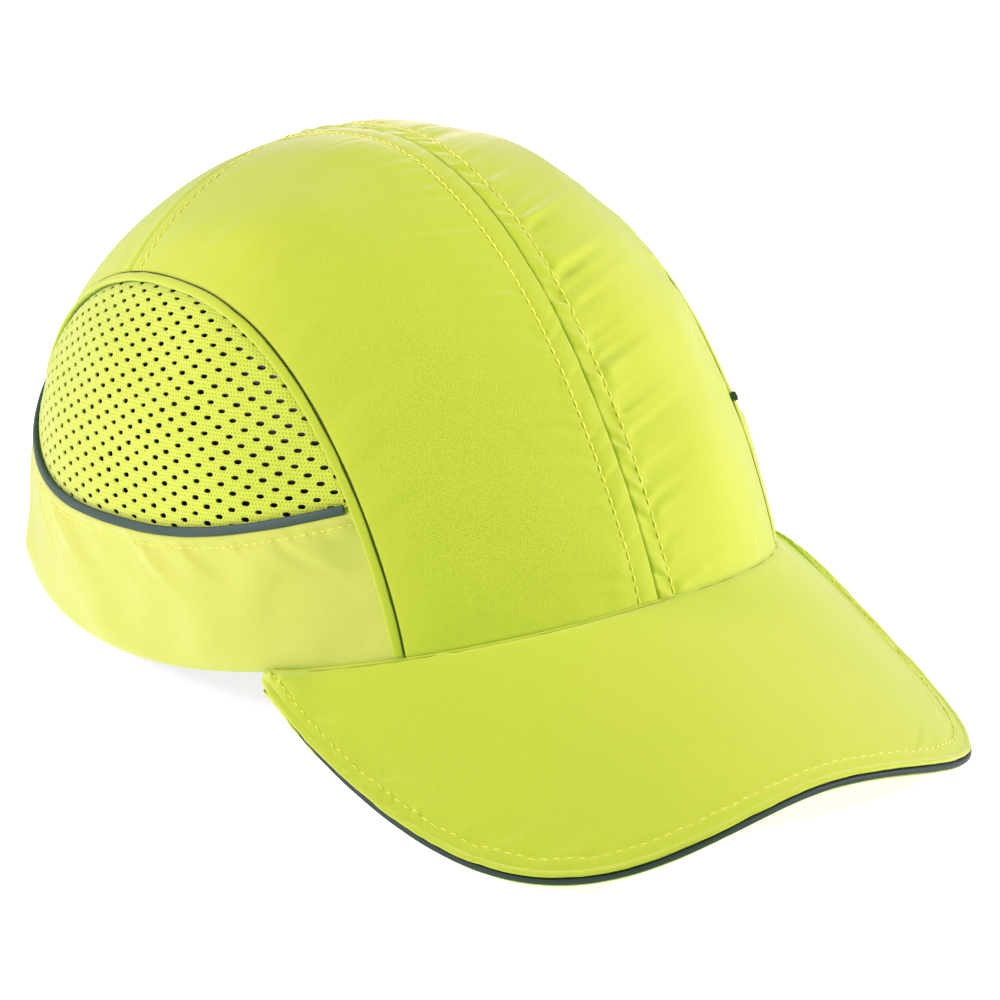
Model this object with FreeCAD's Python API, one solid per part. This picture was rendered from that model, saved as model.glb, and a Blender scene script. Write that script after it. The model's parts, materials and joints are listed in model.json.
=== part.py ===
import FreeCAD, Part
import math
import os

# A bump cap: a sewn baseball-style cap over a removable moulded shell with foam pads.
# Lengths are in millimetres. The cap is drawn level, with its front towards -Y, the wearer's
# left towards +X and the lowest point of its side hem near height 0. It is tipped at the end
# so that it stands on the brim's two side edges and the rear hem, as a cap lies on a table.
Vector = FreeCAD.Vector

# Crown: an egg-shaped dome, measured on the outside of the cloth.
HALF_WIDTH = 88.0
FRONT_REACH = 114.0
REAR_REACH = 111.7
CROWN_HEIGHT = 126.0
FRONT_ROUNDNESS = 2.16
REAR_ROUNDNESS = 2.2
FRONT_RISE = 1.39
SIDE_RISE = 0.78
REAR_RISE = 0.73
FORWARD_LEAN = 10.5

# Seams that divide the crown into panels.
SEAM_HALF_WIDTH = 62.6
SEAM_TAPER = 14.6
SEAM_TAPER_START = -25.0
SEAM_TAPER_LENGTH = 125.0
REAR_SEAM_Y = 29.0
SEAM_GAP = 0.15
MESH_TRIM = 0.015
ROLL_ANGLE = 2.0
ROLL_GAP_ANGLE = 0.15
ROLL_FRONT_TRIM, ROLL_REAR_TRIM = 0.5, 3.5
TAPE_HALF_WIDTH = 8.0
TAPE_FRONT_ANGLE = 33.0
TAPE_REAR_Y = 27.0

# Piping between the mesh and the side band, and the hem below the band.
PIPING_LOW = 36.5
PIPING_FRONT_RISE = 19.0
PIPING_REAR_RISE = 35.0
PIPING_HALF_WIDTH = 1.5
PIPING_START_TRIM = 3.2
HEM_MEAN = 7.4
HEM_TILT = -2.0
HEM_WAVE = 7.3

# Layers, as depths below the outside of the crown.
CLOTH = 1.0
TAPE_TOP, TAPE_BOTTOM = 1.35, 1.95
TRIM_TOP, TRIM_BOTTOM = -0.9, -0.1
BAND_TOP, BAND_BOTTOM = 1.2, 3.7
LOOP_TOP, LOOP_BOTTOM = 1.15, 2.4
HOOK_TOP, HOOK_BOTTOM = 2.6, 3.9
SHELL_TOP, SHELL_BOTTOM = 4.0, 6.0
PAD_TOP, PAD_BOTTOM = 6.5, 12.5

# Sweatband, its label, and the hook and loop patches beside the ears: headings in degrees
# round from the front, heights above the hem or, for the patches, above the level.
SWEATBAND_TURN = 150.0
SWEATBAND_LOW, SWEATBAND_HIGH = 0.8, 30.0
LABEL_FIRST, LABEL_LAST = 126.0, 140.0
LABEL_LOW, LABEL_HIGH = 6.0, 22.0
LABEL_GAP = 0.1
LABEL_THICKNESS = 0.4
PATCH_FIRST, PATCH_LAST = 80.0, 98.0
PATCH_LOW, PATCH_HIGH = 56.0, 74.0

# Rear opening and its closure.
ARCH_RADIUS = 42.0
ARCH_CENTRE_HEIGHT = 18.0
BINDING_WIDTH = 5.0
BINDING_GAP = 0.2
BINDING_FIRST, BINDING_LAST = 178.0, 2.0
STRAP_LOW, STRAP_HIGH = 21.0, 39.0
STRAP_THICKNESS = 1.0
STRAP_TOP = CLOTH + 0.2
STRAP_FIRST, STRAP_LAST = 151.5, 188.3
TAIL_TOP = -0.4
TAIL_FIRST, TAIL_LAST = 160.5, 189.6
TAB_FIRST, TAB_LAST = 196.3, 208.5
RING_TURN = 190.0
RING_BAR_RADIUS = 1.4
RING_LENGTH = 11.0
RING_OVERHANG = 2.5
EYE_CLEARANCE = 0.25

# Brim.
BRIM_HALF_WIDTH = 88.2
BRIM_BASE_Y = -42.0
BRIM_LENGTH = 130.9
BRIM_SIDE_POWER = 2.89
BRIM_FRONT_POWER = 3.2
BRIM_SLOPE = 0.592
BRIM_ROOT_HEIGHT = 10.6
BRIM_CURL = 0.0055
BRIM_TUCK_START = -75.0
BRIM_TUCK_LENGTH = 27.0
BRIM_TUCK_IN = 5.0
BRIM_TUCK_DOWN = 10.4
BRIM_END_Y = -48.0
BRIM_END_TURN = 60.0
BRIM_COLUMNS = 32
BRIM_ROWS = 8
BOARD_INSET = 0.5
BRIM_SEAM_CLEARANCE = 0.4
COVER_THICKNESS = 0.8
BOARD_THICKNESS = 2.0
LAYER_GAP = 0.2
EDGE_PIPING_WIDTH = 2.0
EDGE_PIPING_OVERLAP = 0.4

# Shell: how far it wraps down the sides and round the front and back, in degrees, the side
# view of its lower rim as Y and height, and its vent slots.
SHELL_SIDE_ANGLE = 85.0
SHELL_END_ANGLE = 6.0
SHELL_RIM = [(-150.0, 44.0), (-80.0, 44.0), (-10.0, 38.0), (50.0, 46.0), (95.0, 68.0), (150.0, 90.0)]
CUTTER_HALF_WIDTH = 110.0
CUTTER_FLOOR = -30.0
VENT_LENGTHS = {-44.0: 26.0, -15.0: 30.0, 15.0: 30.0, 44.0: 26.0}
VENT_CENTRES = (-42.0, 0.0, 42.0)
VENT_WIDTH = 8.0
VENT_FLOOR = 60.0
VENT_CUT = 100.0

# Foam pads: angles to each side, then angles over the head from the front, in degrees.
FRONT_PAD = (26.0, 38.0, 62.0)
CROWN_PAD = (12.0, 72.0, 108.0)
REAR_PAD = (26.0, 118.0, 142.0)
SIDE_PAD_TURNS = (62.0, 118.0)
SIDE_PAD_HEIGHTS = (48.0, 84.0)

# Standing pose of the whole cap.
REST_PITCH = 12.6
REST_FORWARD = 30.52
REST_LIFT = 8.115


def solve(function, low, high):
    """Root of a rising function, by halving the interval."""
    for _ in range(36):
        middle = 0.5 * (low + high)
        if function(middle) > 0:
            high = middle
        else:
            low = middle
    return 0.5 * (low + high)


def mix(start, end, share):
    return start + (end - start) * share


def plan_radius(turn):
    """Radius of the crown's plan outline at an angle round from the front."""
    ahead = math.cos(turn) > 0
    reach = FRONT_REACH if ahead else REAR_REACH
    power = FRONT_ROUNDNESS if ahead else REAR_ROUNDNESS
    across = abs(math.sin(turn)) / HALF_WIDTH
    along = abs(math.cos(turn)) / reach
    return (across ** power + along ** power) ** (-1.0 / power)


def profile_rise(turn):
    """Exponent of the side profile: above 1 it leans back, below 1 it stands up."""
    end = FRONT_RISE if math.cos(turn) > 0 else REAR_RISE
    return SIDE_RISE + (end - SIDE_RISE) * math.cos(turn) ** 2


def dome(turn, climb, depth):
    """Point of the crown at a heading and an angle of climb, at a depth below the cloth."""
    share = math.sin(climb) ** profile_rise(turn)
    radius = (plan_radius(turn) - depth) * math.cos(climb)
    lean = FORWARD_LEAN * share ** 2
    return Vector(radius * math.sin(turn), -radius * math.cos(turn) - lean, (CROWN_HEIGHT - depth) * share)


def climb_to(turn, height):
    return math.asin((max(height, 0.02) / CROWN_HEIGHT) ** (1.0 / profile_rise(turn)))


def ring_point(turn, height, depth):
    """Point of the crown at a heading and a height."""
    return dome(turn, climb_to(turn, height), depth)


def saddle_heading(lateral, over):
    """Heading and climb from an angle to the side and an angle over the head from the front."""
    side = math.sin(lateral)
    fore = -math.cos(lateral) * math.cos(over)
    turn = math.atan2(side, -fore)
    climb = math.asin(math.cos(lateral) * math.sin(over))
    return turn, climb


def saddle_point(lateral, over, depth):
    turn, climb = saddle_heading(lateral, over)
    return dome(turn, climb, depth)


def seam_half_width(y):
    """Distance of the side seam from the centre line: straight in front, closer together behind."""
    behind = max(0.0, (y - SEAM_TAPER_START) / SEAM_TAPER_LENGTH)
    return SEAM_HALF_WIDTH - SEAM_TAPER * behind ** 1.5


def seam_lateral(over):
    """Side angle of the side seam at an angle over the head."""
    def outside(lateral):
        point = saddle_point(lateral, over, 0)
        return point.x - seam_half_width(point.y)
    return solve(outside, 0.1, 1.3)


def piping_height(turn):
    fore = math.cos(turn)
    if fore > 0:
        return PIPING_LOW + PIPING_FRONT_RISE * fore ** 2
    return PIPING_LOW + PIPING_REAR_RISE * fore ** 4


def hem_height(turn):
    return HEM_MEAN + HEM_TILT * math.cos(turn) + HEM_WAVE * math.cos(2 * turn)


def mirrored(shape):
    return shape.mirror(Vector(0, 0, 0), Vector(1, 0, 0))


def patch_surface(point, depth, columns, rows):
    """Smooth surface through a grid of points, at one depth."""
    grid = []
    for i in range(columns + 1):
        grid.append([point(i / columns, j / rows, depth) for j in range(rows + 1)])
    surface = Part.BSplineSurface()
    surface.interpolate(grid)
    return surface


def boundary_edges(surface):
    u0, u1, v0, v1 = surface.bounds()
    curves = [surface.uIso(u0), surface.uIso(u1), surface.vIso(v0), surface.vIso(v1)]
    return [curve.toShape() for curve in curves]


def closed_solid(faces):
    shell = Part.makeShell(faces)
    shell.sewShape()
    solid = Part.makeSolid(Part.Shell(shell.Faces))
    if solid.Volume < 0:
        solid.reverse()
    return solid


def sheet_solid(point, top, bottom, columns, rows):
    """A sheet of the crown between two depths, its four edges closed by ruled faces."""
    outer = patch_surface(point, top, columns, rows)
    inner = patch_surface(point, bottom, columns, rows)
    faces = [outer.toShape(), inner.toShape()]
    for first, second in zip(boundary_edges(outer), boundary_edges(inner)):
        faces.append(Part.makeRuledSurface(first, second))
    return closed_solid(faces)


# ---- crown panels -------------------------------------------------------------------------

def front_over(share):
    """Angle over the head where the front hem crosses a line of the front panel."""
    def above(over):
        turn, climb = saddle_heading(share * seam_lateral(over), over)
        return climb - climb_to(turn, hem_height(turn) + SEAM_GAP)
    return solve(above, math.radians(1), math.radians(60))


def rear_seam_over(share, y):
    """Angle over the head where a line of the centre panels crosses a plane at y."""
    def behind(over):
        return saddle_point(share * seam_lateral(over), over, 0).y - y
    return solve(behind, math.radians(60), math.radians(170))


def rear_foot_over(share):
    """Angle over the head where the rear panel meets the piping."""
    def below(over):
        turn, climb = saddle_heading(share * seam_lateral(over), over)
        return climb_to(turn, piping_height(turn) + SEAM_GAP) - climb
    return solve(below, math.radians(120), math.radians(178))


def centre_strip(low_share, high_share, start, finish):
    """Grid function of a strip between two shares of the way to the side seam."""
    limits = {}

    def point(u, v, depth):
        share = mix(low_share, high_share, u)
        if share not in limits:
            limits[share] = (start(share), finish(share))
        over = mix(limits[share][0], limits[share][1], v)
        return saddle_point(share * seam_lateral(over), over, depth)
    return point


def front_panel():
    """Wearer's left front panel."""
    def rear(share):
        return rear_seam_over(share, REAR_SEAM_Y)
    edge = SEAM_GAP / SEAM_HALF_WIDTH
    point = centre_strip(edge, 1 - edge, front_over, rear)
    return sheet_solid(point, 0, CLOTH, 10, 20)


def rear_centre_panel():
    edge = 1 - SEAM_GAP / SEAM_HALF_WIDTH
    start = REAR_SEAM_Y + 2 * SEAM_GAP
    point = centre_strip(-edge, edge, lambda share: rear_seam_over(share, start), rear_foot_over)
    return sheet_solid(point, 0, CLOTH, 16, 14)


def seam_heading(over):
    return saddle_heading(seam_lateral(over), over)


def mesh_ends():
    """Angles over the head where the side seam meets the piping, in front and behind."""
    def above(over):
        turn, climb = seam_heading(over)
        return climb - climb_to(turn, piping_height(turn))
    front = solve(above, math.radians(10), math.radians(80))
    rear = solve(lambda over: -above(over), math.radians(100), math.radians(178))
    return front, rear


def mesh_point_function():
    """Grid function of the lens between the piping and the side seam."""
    front, rear = mesh_ends()
    front_turn = seam_heading(front)[0]
    rear_turn = seam_heading(rear)[0]

    def point(u, v, depth):
        along = mix(MESH_TRIM, 1 - MESH_TRIM, u)
        turn_low = mix(front_turn, rear_turn, along)
        low = piping_height(turn_low) + SEAM_GAP
        turn_high, climb_high = seam_heading(mix(front, rear, along))
        high = CROWN_HEIGHT * math.sin(climb_high) ** profile_rise(turn_high) - 2 * SEAM_GAP
        turn = mix(turn_low, turn_high, v)
        return ring_point(turn, mix(low, high, v), depth)
    return point


def mesh_panel():
    return sheet_solid(mesh_point_function(), 0, CLOTH, 20, 8)


def band_front_turn(level):
    """Heading where the band's front edge meets the side seam, at a level between hem and piping."""
    def outside(turn):
        height = mix(hem_height(turn), piping_height(turn), level)
        return ring_point(turn, height, 0).x - SEAM_HALF_WIDTH - SEAM_GAP
    return solve(outside, math.radians(25), math.radians(80))


def arch_cutter():
    """The rear opening: an arch with a round top, cut straight through the back."""
    start, length, leg = 40, 100, 60
    middle = Vector(0, start, ARCH_CENTRE_HEIGHT)
    top = Part.makeCylinder(ARCH_RADIUS, length, middle, Vector(0, 1, 0))
    corner = Vector(-ARCH_RADIUS, start, ARCH_CENTRE_HEIGHT - leg)
    legs = Part.makeBox(2 * ARCH_RADIUS, length, leg, corner)
    return top.fuse(legs).removeSplitter()


def side_band():
    """Wearer's left band, from the side seam round to the centre back, less the arch."""
    last_turn = math.pi - SEAM_GAP / REAR_REACH

    def point(u, v, depth):
        turn = mix(band_front_turn(v), last_turn, u)
        low = hem_height(turn)
        high = piping_height(turn) - SEAM_GAP
        return ring_point(turn, mix(low, high, v), depth)
    band = sheet_solid(point, 0, CLOTH, 24, 4)
    return band.cut(arch_cutter())


# ---- trim on the crown --------------------------------------------------------------------

def side_piping():
    """Reflective piping over the wearer's left band seam."""
    first = band_front_turn(1.0) + math.radians(PIPING_START_TRIM)
    last = math.pi - SEAM_GAP / REAR_REACH

    def point(u, v, depth):
        turn = mix(first, last, u)
        offset = mix(-PIPING_HALF_WIDTH, PIPING_HALF_WIDTH, v)
        return ring_point(turn, piping_height(turn) + offset, depth)
    return sheet_solid(point, TRIM_TOP, TRIM_BOTTOM, 28, 3)


def seam_roll():
    """Rolled edge along the wearer's left side seam, from the hem over to the rear piping."""
    front = front_over(1.0) + math.radians(ROLL_FRONT_TRIM)
    rear = mesh_ends()[1] - math.radians(ROLL_REAR_TRIM)

    def point(u, v, depth):
        over = mix(front, rear, u)
        beside = math.radians(mix(ROLL_GAP_ANGLE, ROLL_ANGLE, v))
        return saddle_point(seam_lateral(over) + beside, over, depth)
    return sheet_solid(point, TRIM_TOP, TRIM_BOTTOM, 30, 3)


def centre_seam_tape():
    """Tape inside the centre seam, above the sweatband."""
    def front(share):
        return math.radians(TAPE_FRONT_ANGLE)

    def rear(share):
        return rear_seam_over(share, TAPE_REAR_Y)
    half = TAPE_HALF_WIDTH / SEAM_HALF_WIDTH
    point = centre_strip(-half, half, front, rear)
    return sheet_solid(point, TAPE_TOP, TAPE_BOTTOM, 4, 20)


def arch_binding():
    """Bound edge round the rear arch, on the outside of the band."""
    def rear_turn_at(x, height):
        def beyond(turn):
            return x - ring_point(turn, height, 0).x
        return solve(beyond, math.radians(120), math.radians(240))

    def point(u, v, depth):
        swing = math.radians(mix(BINDING_FIRST, BINDING_LAST, u))
        radius = ARCH_RADIUS + mix(BINDING_GAP, BINDING_WIDTH, v)
        x = radius * math.cos(swing)
        height = ARCH_CENTRE_HEIGHT + radius * math.sin(swing)
        return ring_point(rear_turn_at(x, height), height, depth)
    return sheet_solid(point, TRIM_TOP, TRIM_BOTTOM, 20, 3)


def sweatband():
    """Padded band inside the hem, open across the rear arch."""
    def point(u, v, depth):
        turn = math.radians(mix(-SWEATBAND_TURN, SWEATBAND_TURN, u))
        height = hem_height(turn) + mix(SWEATBAND_LOW, SWEATBAND_HIGH, v)
        return ring_point(turn, height, depth)
    return sheet_solid(point, BAND_TOP, BAND_BOTTOM, 30, 4)


def size_label():
    """Blank woven label on the inside of the sweatband, behind the wearer's left ear."""
    def point(u, v, depth):
        turn = math.radians(mix(LABEL_FIRST, LABEL_LAST, u))
        height = hem_height(turn) + mix(LABEL_LOW, LABEL_HIGH, v)
        return ring_point(turn, height, depth)
    top = BAND_BOTTOM + LABEL_GAP
    return sheet_solid(point, top, top + LABEL_THICKNESS, 4, 3)


def side_patch(top, bottom):
    """Patch of hook or loop tape beside the wearer's left ear, between two depths."""
    def point(u, v, depth):
        turn = math.radians(mix(PATCH_FIRST, PATCH_LAST, u))
        return ring_point(turn, mix(PATCH_LOW, PATCH_HIGH, v), depth)
    return sheet_solid(point, top, bottom, 5, 4)


# ---- rear closure -------------------------------------------------------------------------

def ring_axis_point():
    """Foot of the ring's strap bar."""
    turn = math.radians(RING_TURN)
    return ring_point(turn, STRAP_LOW, CLOTH + 0.5 * STRAP_THICKNESS)


def ring_direction():
    """Direction round the head at the ring."""
    turn = math.radians(RING_TURN)
    return Vector(math.cos(turn), math.sin(turn), 0)


def bar(start, end, radius):
    axis = end - start
    return Part.makeCylinder(radius, axis.Length, start, axis)


def closure_ring():
    """Moulded rectangular ring that joins the two straps."""
    forward = ring_direction()
    foot = ring_axis_point() - Vector(0, 0, RING_OVERHANG)
    head = ring_axis_point() + Vector(0, 0, STRAP_HIGH - STRAP_LOW + RING_OVERHANG)
    corners = [foot, head, head + forward * RING_LENGTH, foot + forward * RING_LENGTH]
    ring = None
    for index in range(4):
        side = bar(corners[index], corners[(index + 1) % 4], RING_BAR_RADIUS)
        side = side.fuse(Part.makeSphere(RING_BAR_RADIUS, corners[index]))
        ring = side if ring is None else ring.fuse(side)
    return ring.removeSplitter()


def eye(axis_foot):
    """Cloth wrapped round a bar of the ring: its outside, and the hole for the bar."""
    height = Vector(0, 0, STRAP_HIGH - STRAP_LOW)
    inner_radius = RING_BAR_RADIUS + EYE_CLEARANCE
    outside = bar(axis_foot, axis_foot + height, inner_radius + STRAP_THICKNESS)
    hole = bar(axis_foot - height, axis_foot + height * 2, inner_radius)
    return outside, hole


def strap_span(first, last, top, columns):
    """Length of strap between two headings, its outside at a depth."""
    def point(u, v, depth):
        turn = math.radians(mix(first, last, u))
        return ring_point(turn, mix(STRAP_LOW, STRAP_HIGH, v), depth)
    return sheet_solid(point, top, top + STRAP_THICKNESS, columns, 3)


def closure_strap():
    """Strap sewn inside the wearer's left band, reaching across the arch to the ring."""
    return strap_span(STRAP_FIRST, STRAP_LAST, STRAP_TOP, 10)


def strap_tail():
    """Free end of the strap: round the ring's bar and back over the strap, held by hook tape."""
    outside, hole = eye(ring_axis_point())
    flap = strap_span(TAIL_FIRST, TAIL_LAST, TAIL_TOP, 10)
    return flap.fuse(outside).cut(hole).removeSplitter()


def ring_tab():
    """Short loop from the wearer's right band round the ring's other bar."""
    outside, hole = eye(ring_axis_point() + ring_direction() * RING_LENGTH)
    web = strap_span(TAB_FIRST, TAB_LAST, STRAP_TOP, 6)
    return web.fuse(outside).cut(hole).removeSplitter()


# ---- brim ---------------------------------------------------------------------------------

def brim_sheet(x, y):
    """Height of the brim's curved sheet."""
    return BRIM_ROOT_HEIGHT + BRIM_SLOPE * (y + FRONT_REACH) - BRIM_CURL * x * x


def brim_tuck(y):
    """How far along its inward tuck the rim is, beside the crown."""
    return max(0.0, (y - BRIM_TUCK_START) / BRIM_TUCK_LENGTH)


def brim_outline(swing):
    """Point of the brim's outer edge; swing runs from the wearer's right to the left."""
    sine = math.sin(swing)
    x = math.copysign(BRIM_HALF_WIDTH * abs(sine) ** (2 / BRIM_SIDE_POWER), sine)
    y = BRIM_BASE_Y - BRIM_LENGTH * math.cos(swing) ** (2 / BRIM_FRONT_POWER)
    tuck = brim_tuck(y)
    x -= math.copysign(BRIM_TUCK_IN * tuck ** 2, sine)
    return Vector(x, y, brim_sheet(x, y) - BRIM_TUCK_DOWN * tuck ** 3)


def brim_seam(turn):
    return ring_point(turn, hem_height(turn), -BRIM_SEAM_CLEARANCE)


def even_points(curve, low, high, count):
    """Points at even steps of length along a curve, ends included."""
    pieces = 600
    fine = [curve(mix(low, high, i / pieces)) for i in range(pieces + 1)]
    lengths = [0.0]
    for first, second in zip(fine, fine[1:]):
        lengths.append(lengths[-1] + first.distanceToPoint(second))
    points = []
    index = 0
    for step in range(count + 1):
        target = lengths[-1] * step / count
        while index < pieces - 1 and lengths[index + 1] < target:
            index += 1
        span = lengths[index + 1] - lengths[index]
        share = min(1.0, (target - lengths[index]) / span)
        points.append(fine[index] + (fine[index + 1] - fine[index]) * share)
    return points


def brim_edges():
    """The brim's seam and its rim, each as evenly spaced points."""
    end = BRIM_BASE_Y - BRIM_END_Y
    last = math.acos((end / BRIM_LENGTH) ** (BRIM_FRONT_POWER / 2))
    outer = even_points(brim_outline, -last, last, BRIM_COLUMNS)
    turn = math.radians(BRIM_END_TURN)
    inner = even_points(brim_seam, -turn, turn, BRIM_COLUMNS)
    return inner, outer


def brim_point_function(rim_inset):
    """Grid function of the brim from its seam to its rim, or to an inset short of it."""
    inner, outer = brim_edges()

    def point(u, v, depth):
        index = round(u * BRIM_COLUMNS)
        root, rim = inner[index], outer[index]
        reach = v * (1 - rim_inset / (rim - root).Length)
        x = mix(root.x, rim.x, reach)
        y = mix(root.y, rim.y, reach)
        at_root = root.z - brim_sheet(root.x, root.y)
        at_rim = rim.z - brim_sheet(rim.x, rim.y)
        between = min(0.0, max(at_root, at_rim))
        drop = at_root * (1 - reach) ** 2 + 2 * between * reach * (1 - reach) + at_rim * reach ** 2
        height = brim_sheet(x, y) + drop
        return Vector(x, y, height - depth)
    return point


def brim_layer(top, thickness, rim_inset):
    return sheet_solid(brim_point_function(rim_inset), top, top + thickness, BRIM_COLUMNS, BRIM_ROWS)


def brim_edge_piping():
    """Reflective piping under the rim of the brim."""
    rim = brim_edges()[1]
    top = COVER_THICKNESS
    bottom = 2 * COVER_THICKNESS + BOARD_THICKNESS + 2 * LAYER_GAP + EDGE_PIPING_OVERLAP

    def point(u, v, depth):
        index = round(u * (BRIM_COLUMNS - 2)) + 1
        along = rim[index + 1] - rim[index - 1]
        outward = Vector(along.y, -along.x, 0).normalize()
        spot = rim[index] + outward * (LAYER_GAP + EDGE_PIPING_WIDTH - depth)
        return Vector(spot.x, spot.y, spot.z - mix(top, bottom, v))
    return sheet_solid(point, 0, EDGE_PIPING_WIDTH, BRIM_COLUMNS - 2, 3)


# ---- shell and pads -----------------------------------------------------------------------

def rim_cutter():
    """Everything below the shell's lower rim, as seen from the side."""
    rim = Part.BSplineCurve()
    rim.interpolate([Vector(-CUTTER_HALF_WIDTH, y, height) for y, height in SHELL_RIM])
    first, last = rim.StartPoint, rim.EndPoint
    below_first = Vector(first.x, first.y, CUTTER_FLOOR)
    below_last = Vector(last.x, last.y, CUTTER_FLOOR)
    edges = [
        rim.toShape(),
        Part.makeLine(last, below_last),
        Part.makeLine(below_last, below_first),
        Part.makeLine(below_first, first),
    ]
    return Part.Face(Part.Wire(edges)).extrude(Vector(2 * CUTTER_HALF_WIDTH, 0, 0))


def vent_slot(x, y, length):
    """Upright cutter for a slot along Y with round ends."""
    half = 0.5 * (length - VENT_WIDTH)
    radius = 0.5 * VENT_WIDTH
    block = Part.makeBox(VENT_WIDTH, 2 * half, VENT_CUT, Vector(x - radius, y - half, VENT_FLOOR))
    for end in (y - half, y + half):
        block = block.fuse(Part.makeCylinder(radius, VENT_CUT, Vector(x, end, VENT_FLOOR)))
    return block


def bump_shell():
    """Moulded shell with a shaped rim and four rows of vent slots."""
    def point(u, v, depth):
        lateral = math.radians(mix(-SHELL_SIDE_ANGLE, SHELL_SIDE_ANGLE, u))
        over = math.radians(mix(SHELL_END_ANGLE, 180 - SHELL_END_ANGLE, v))
        return saddle_point(lateral, over, depth)
    shell = sheet_solid(point, SHELL_TOP, SHELL_BOTTOM, 30, 36)
    shell = shell.cut(rim_cutter())
    for x, length in VENT_LENGTHS.items():
        for y in VENT_CENTRES:
            shell = shell.cut(vent_slot(x, y, length))
    return shell


def centre_pad(angles, columns, rows):
    """Foam pad across the middle of the shell, given by its angle to each side and over the head."""
    side, first, last = angles

    def point(u, v, depth):
        lateral = math.radians(mix(-side, side, u))
        over = math.radians(mix(first, last, v))
        return saddle_point(lateral, over, depth)
    return sheet_solid(point, PAD_TOP, PAD_BOTTOM, columns, rows)


def side_pad():
    """Foam pad inside the wearer's left side of the shell."""
    def point(u, v, depth):
        turn = math.radians(mix(SIDE_PAD_TURNS[0], SIDE_PAD_TURNS[1], u))
        return ring_point(turn, mix(SIDE_PAD_HEIGHTS[0], SIDE_PAD_HEIGHTS[1], v), depth)
    return sheet_solid(point, PAD_TOP, PAD_BOTTOM, 8, 5)


# ---- assembly -----------------------------------------------------------------------------

def build_parts():
    under_top = COVER_THICKNESS + BOARD_THICKNESS + 2 * LAYER_GAP
    parts = {
        "rear_centre_panel": rear_centre_panel(),
        "centre_seam_tape": centre_seam_tape(),
        "rear_arch_binding": arch_binding(),
        "sweatband": sweatband(),
        "size_label": size_label(),
        "closure_strap": closure_strap(),
        "strap_tail": strap_tail(),
        "closure_ring": closure_ring(),
        "ring_tab": ring_tab(),
        "brim_top_cover": brim_layer(0, COVER_THICKNESS, 0),
        "brim_board": brim_layer(COVER_THICKNESS + LAYER_GAP, BOARD_THICKNESS, BOARD_INSET),
        "brim_under_cover": brim_layer(under_top, COVER_THICKNESS, 0),
        "brim_edge_piping": brim_edge_piping(),
        "bump_shell": bump_shell(),
        "pad_front": centre_pad(FRONT_PAD, 8, 5),
        "pad_crown": centre_pad(CROWN_PAD, 5, 8),
        "pad_rear": centre_pad(REAR_PAD, 8, 5),
    }
    pairs = {
        "front_panel": front_panel(),
        "mesh_panel": mesh_panel(),
        "side_band": side_band(),
        "side_piping": side_piping(),
        "seam_roll": seam_roll(),
        "loop_patch": side_patch(LOOP_TOP, LOOP_BOTTOM),
        "hook_patch": side_patch(HOOK_TOP, HOOK_BOTTOM),
        "pad_side": side_pad(),
    }
    for name, shape in pairs.items():
        parts[name + "_left"] = shape
        parts[name + "_right"] = mirrored(shape)
    return parts


def stand(shape):
    """Tip the level cap back until it stands on its brim and rear hem."""
    placed = shape.copy()
    placed.rotate(Vector(0, 0, 0), Vector(1, 0, 0), -REST_PITCH)
    placed.translate(Vector(0, REST_FORWARD, REST_LIFT))
    return placed


os.makedirs("parts", exist_ok=True)
for name, shape in sorted(build_parts().items()):
    stand(shape).exportStep("parts/" + name + ".step")
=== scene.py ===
import bmesh
import bpy
import json
import math
import numpy as np
from mathutils import Matrix, Vector


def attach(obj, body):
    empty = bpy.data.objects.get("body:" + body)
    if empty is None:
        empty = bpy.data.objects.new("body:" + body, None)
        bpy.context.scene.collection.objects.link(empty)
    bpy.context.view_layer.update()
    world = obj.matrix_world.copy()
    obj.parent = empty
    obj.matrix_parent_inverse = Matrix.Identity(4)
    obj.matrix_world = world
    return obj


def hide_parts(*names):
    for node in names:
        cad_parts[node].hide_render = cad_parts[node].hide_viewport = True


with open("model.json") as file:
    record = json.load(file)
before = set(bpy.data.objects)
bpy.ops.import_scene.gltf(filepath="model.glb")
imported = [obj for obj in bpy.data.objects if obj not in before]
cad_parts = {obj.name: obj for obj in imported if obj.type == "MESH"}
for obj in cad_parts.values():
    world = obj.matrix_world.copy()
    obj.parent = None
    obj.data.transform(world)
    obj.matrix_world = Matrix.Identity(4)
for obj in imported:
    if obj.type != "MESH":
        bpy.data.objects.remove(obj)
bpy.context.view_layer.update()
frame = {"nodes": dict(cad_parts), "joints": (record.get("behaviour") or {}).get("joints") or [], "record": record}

# A bump cap, drawn level in millimetres as the CAD parts are, then stood in the row's frame.
MM = 0.001
BODY_CAP, BODY_SHELL, BODY_TAIL = "cap", "shell", "strap_end"
SIDES = ((1, "left"), (-1, "right"))

# Crown, as in the CAD design.
HALF_WIDTH, FRONT_REACH, REAR_REACH, CROWN_HEIGHT = 88.0, 114.0, 111.7, 126.0
FRONT_ROUNDNESS, REAR_ROUNDNESS = 2.16, 2.2
FRONT_RISE, SIDE_RISE, REAR_RISE = 1.39, 0.78, 0.73
FORWARD_LEAN = 10.5
SEAM_HALF_WIDTH, SEAM_TAPER, SEAM_TAPER_START, SEAM_TAPER_LENGTH = 62.6, 14.6, -25.0, 125.0
REAR_SEAM_Y = 29.0
PIPING_LOW, PIPING_FRONT_RISE, PIPING_REAR_RISE = 36.5, 19.0, 35.0
HEM_MEAN, HEM_TILT, HEM_WAVE = 7.4, -2.0, 7.3
ARCH_RADIUS, ARCH_CENTRE_HEIGHT = 42.0, 18.0
STRAP_LOW, STRAP_HIGH = 21.0, 39.0
RING_TURN, RING_LENGTH = math.radians(190.0), 11.0

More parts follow.
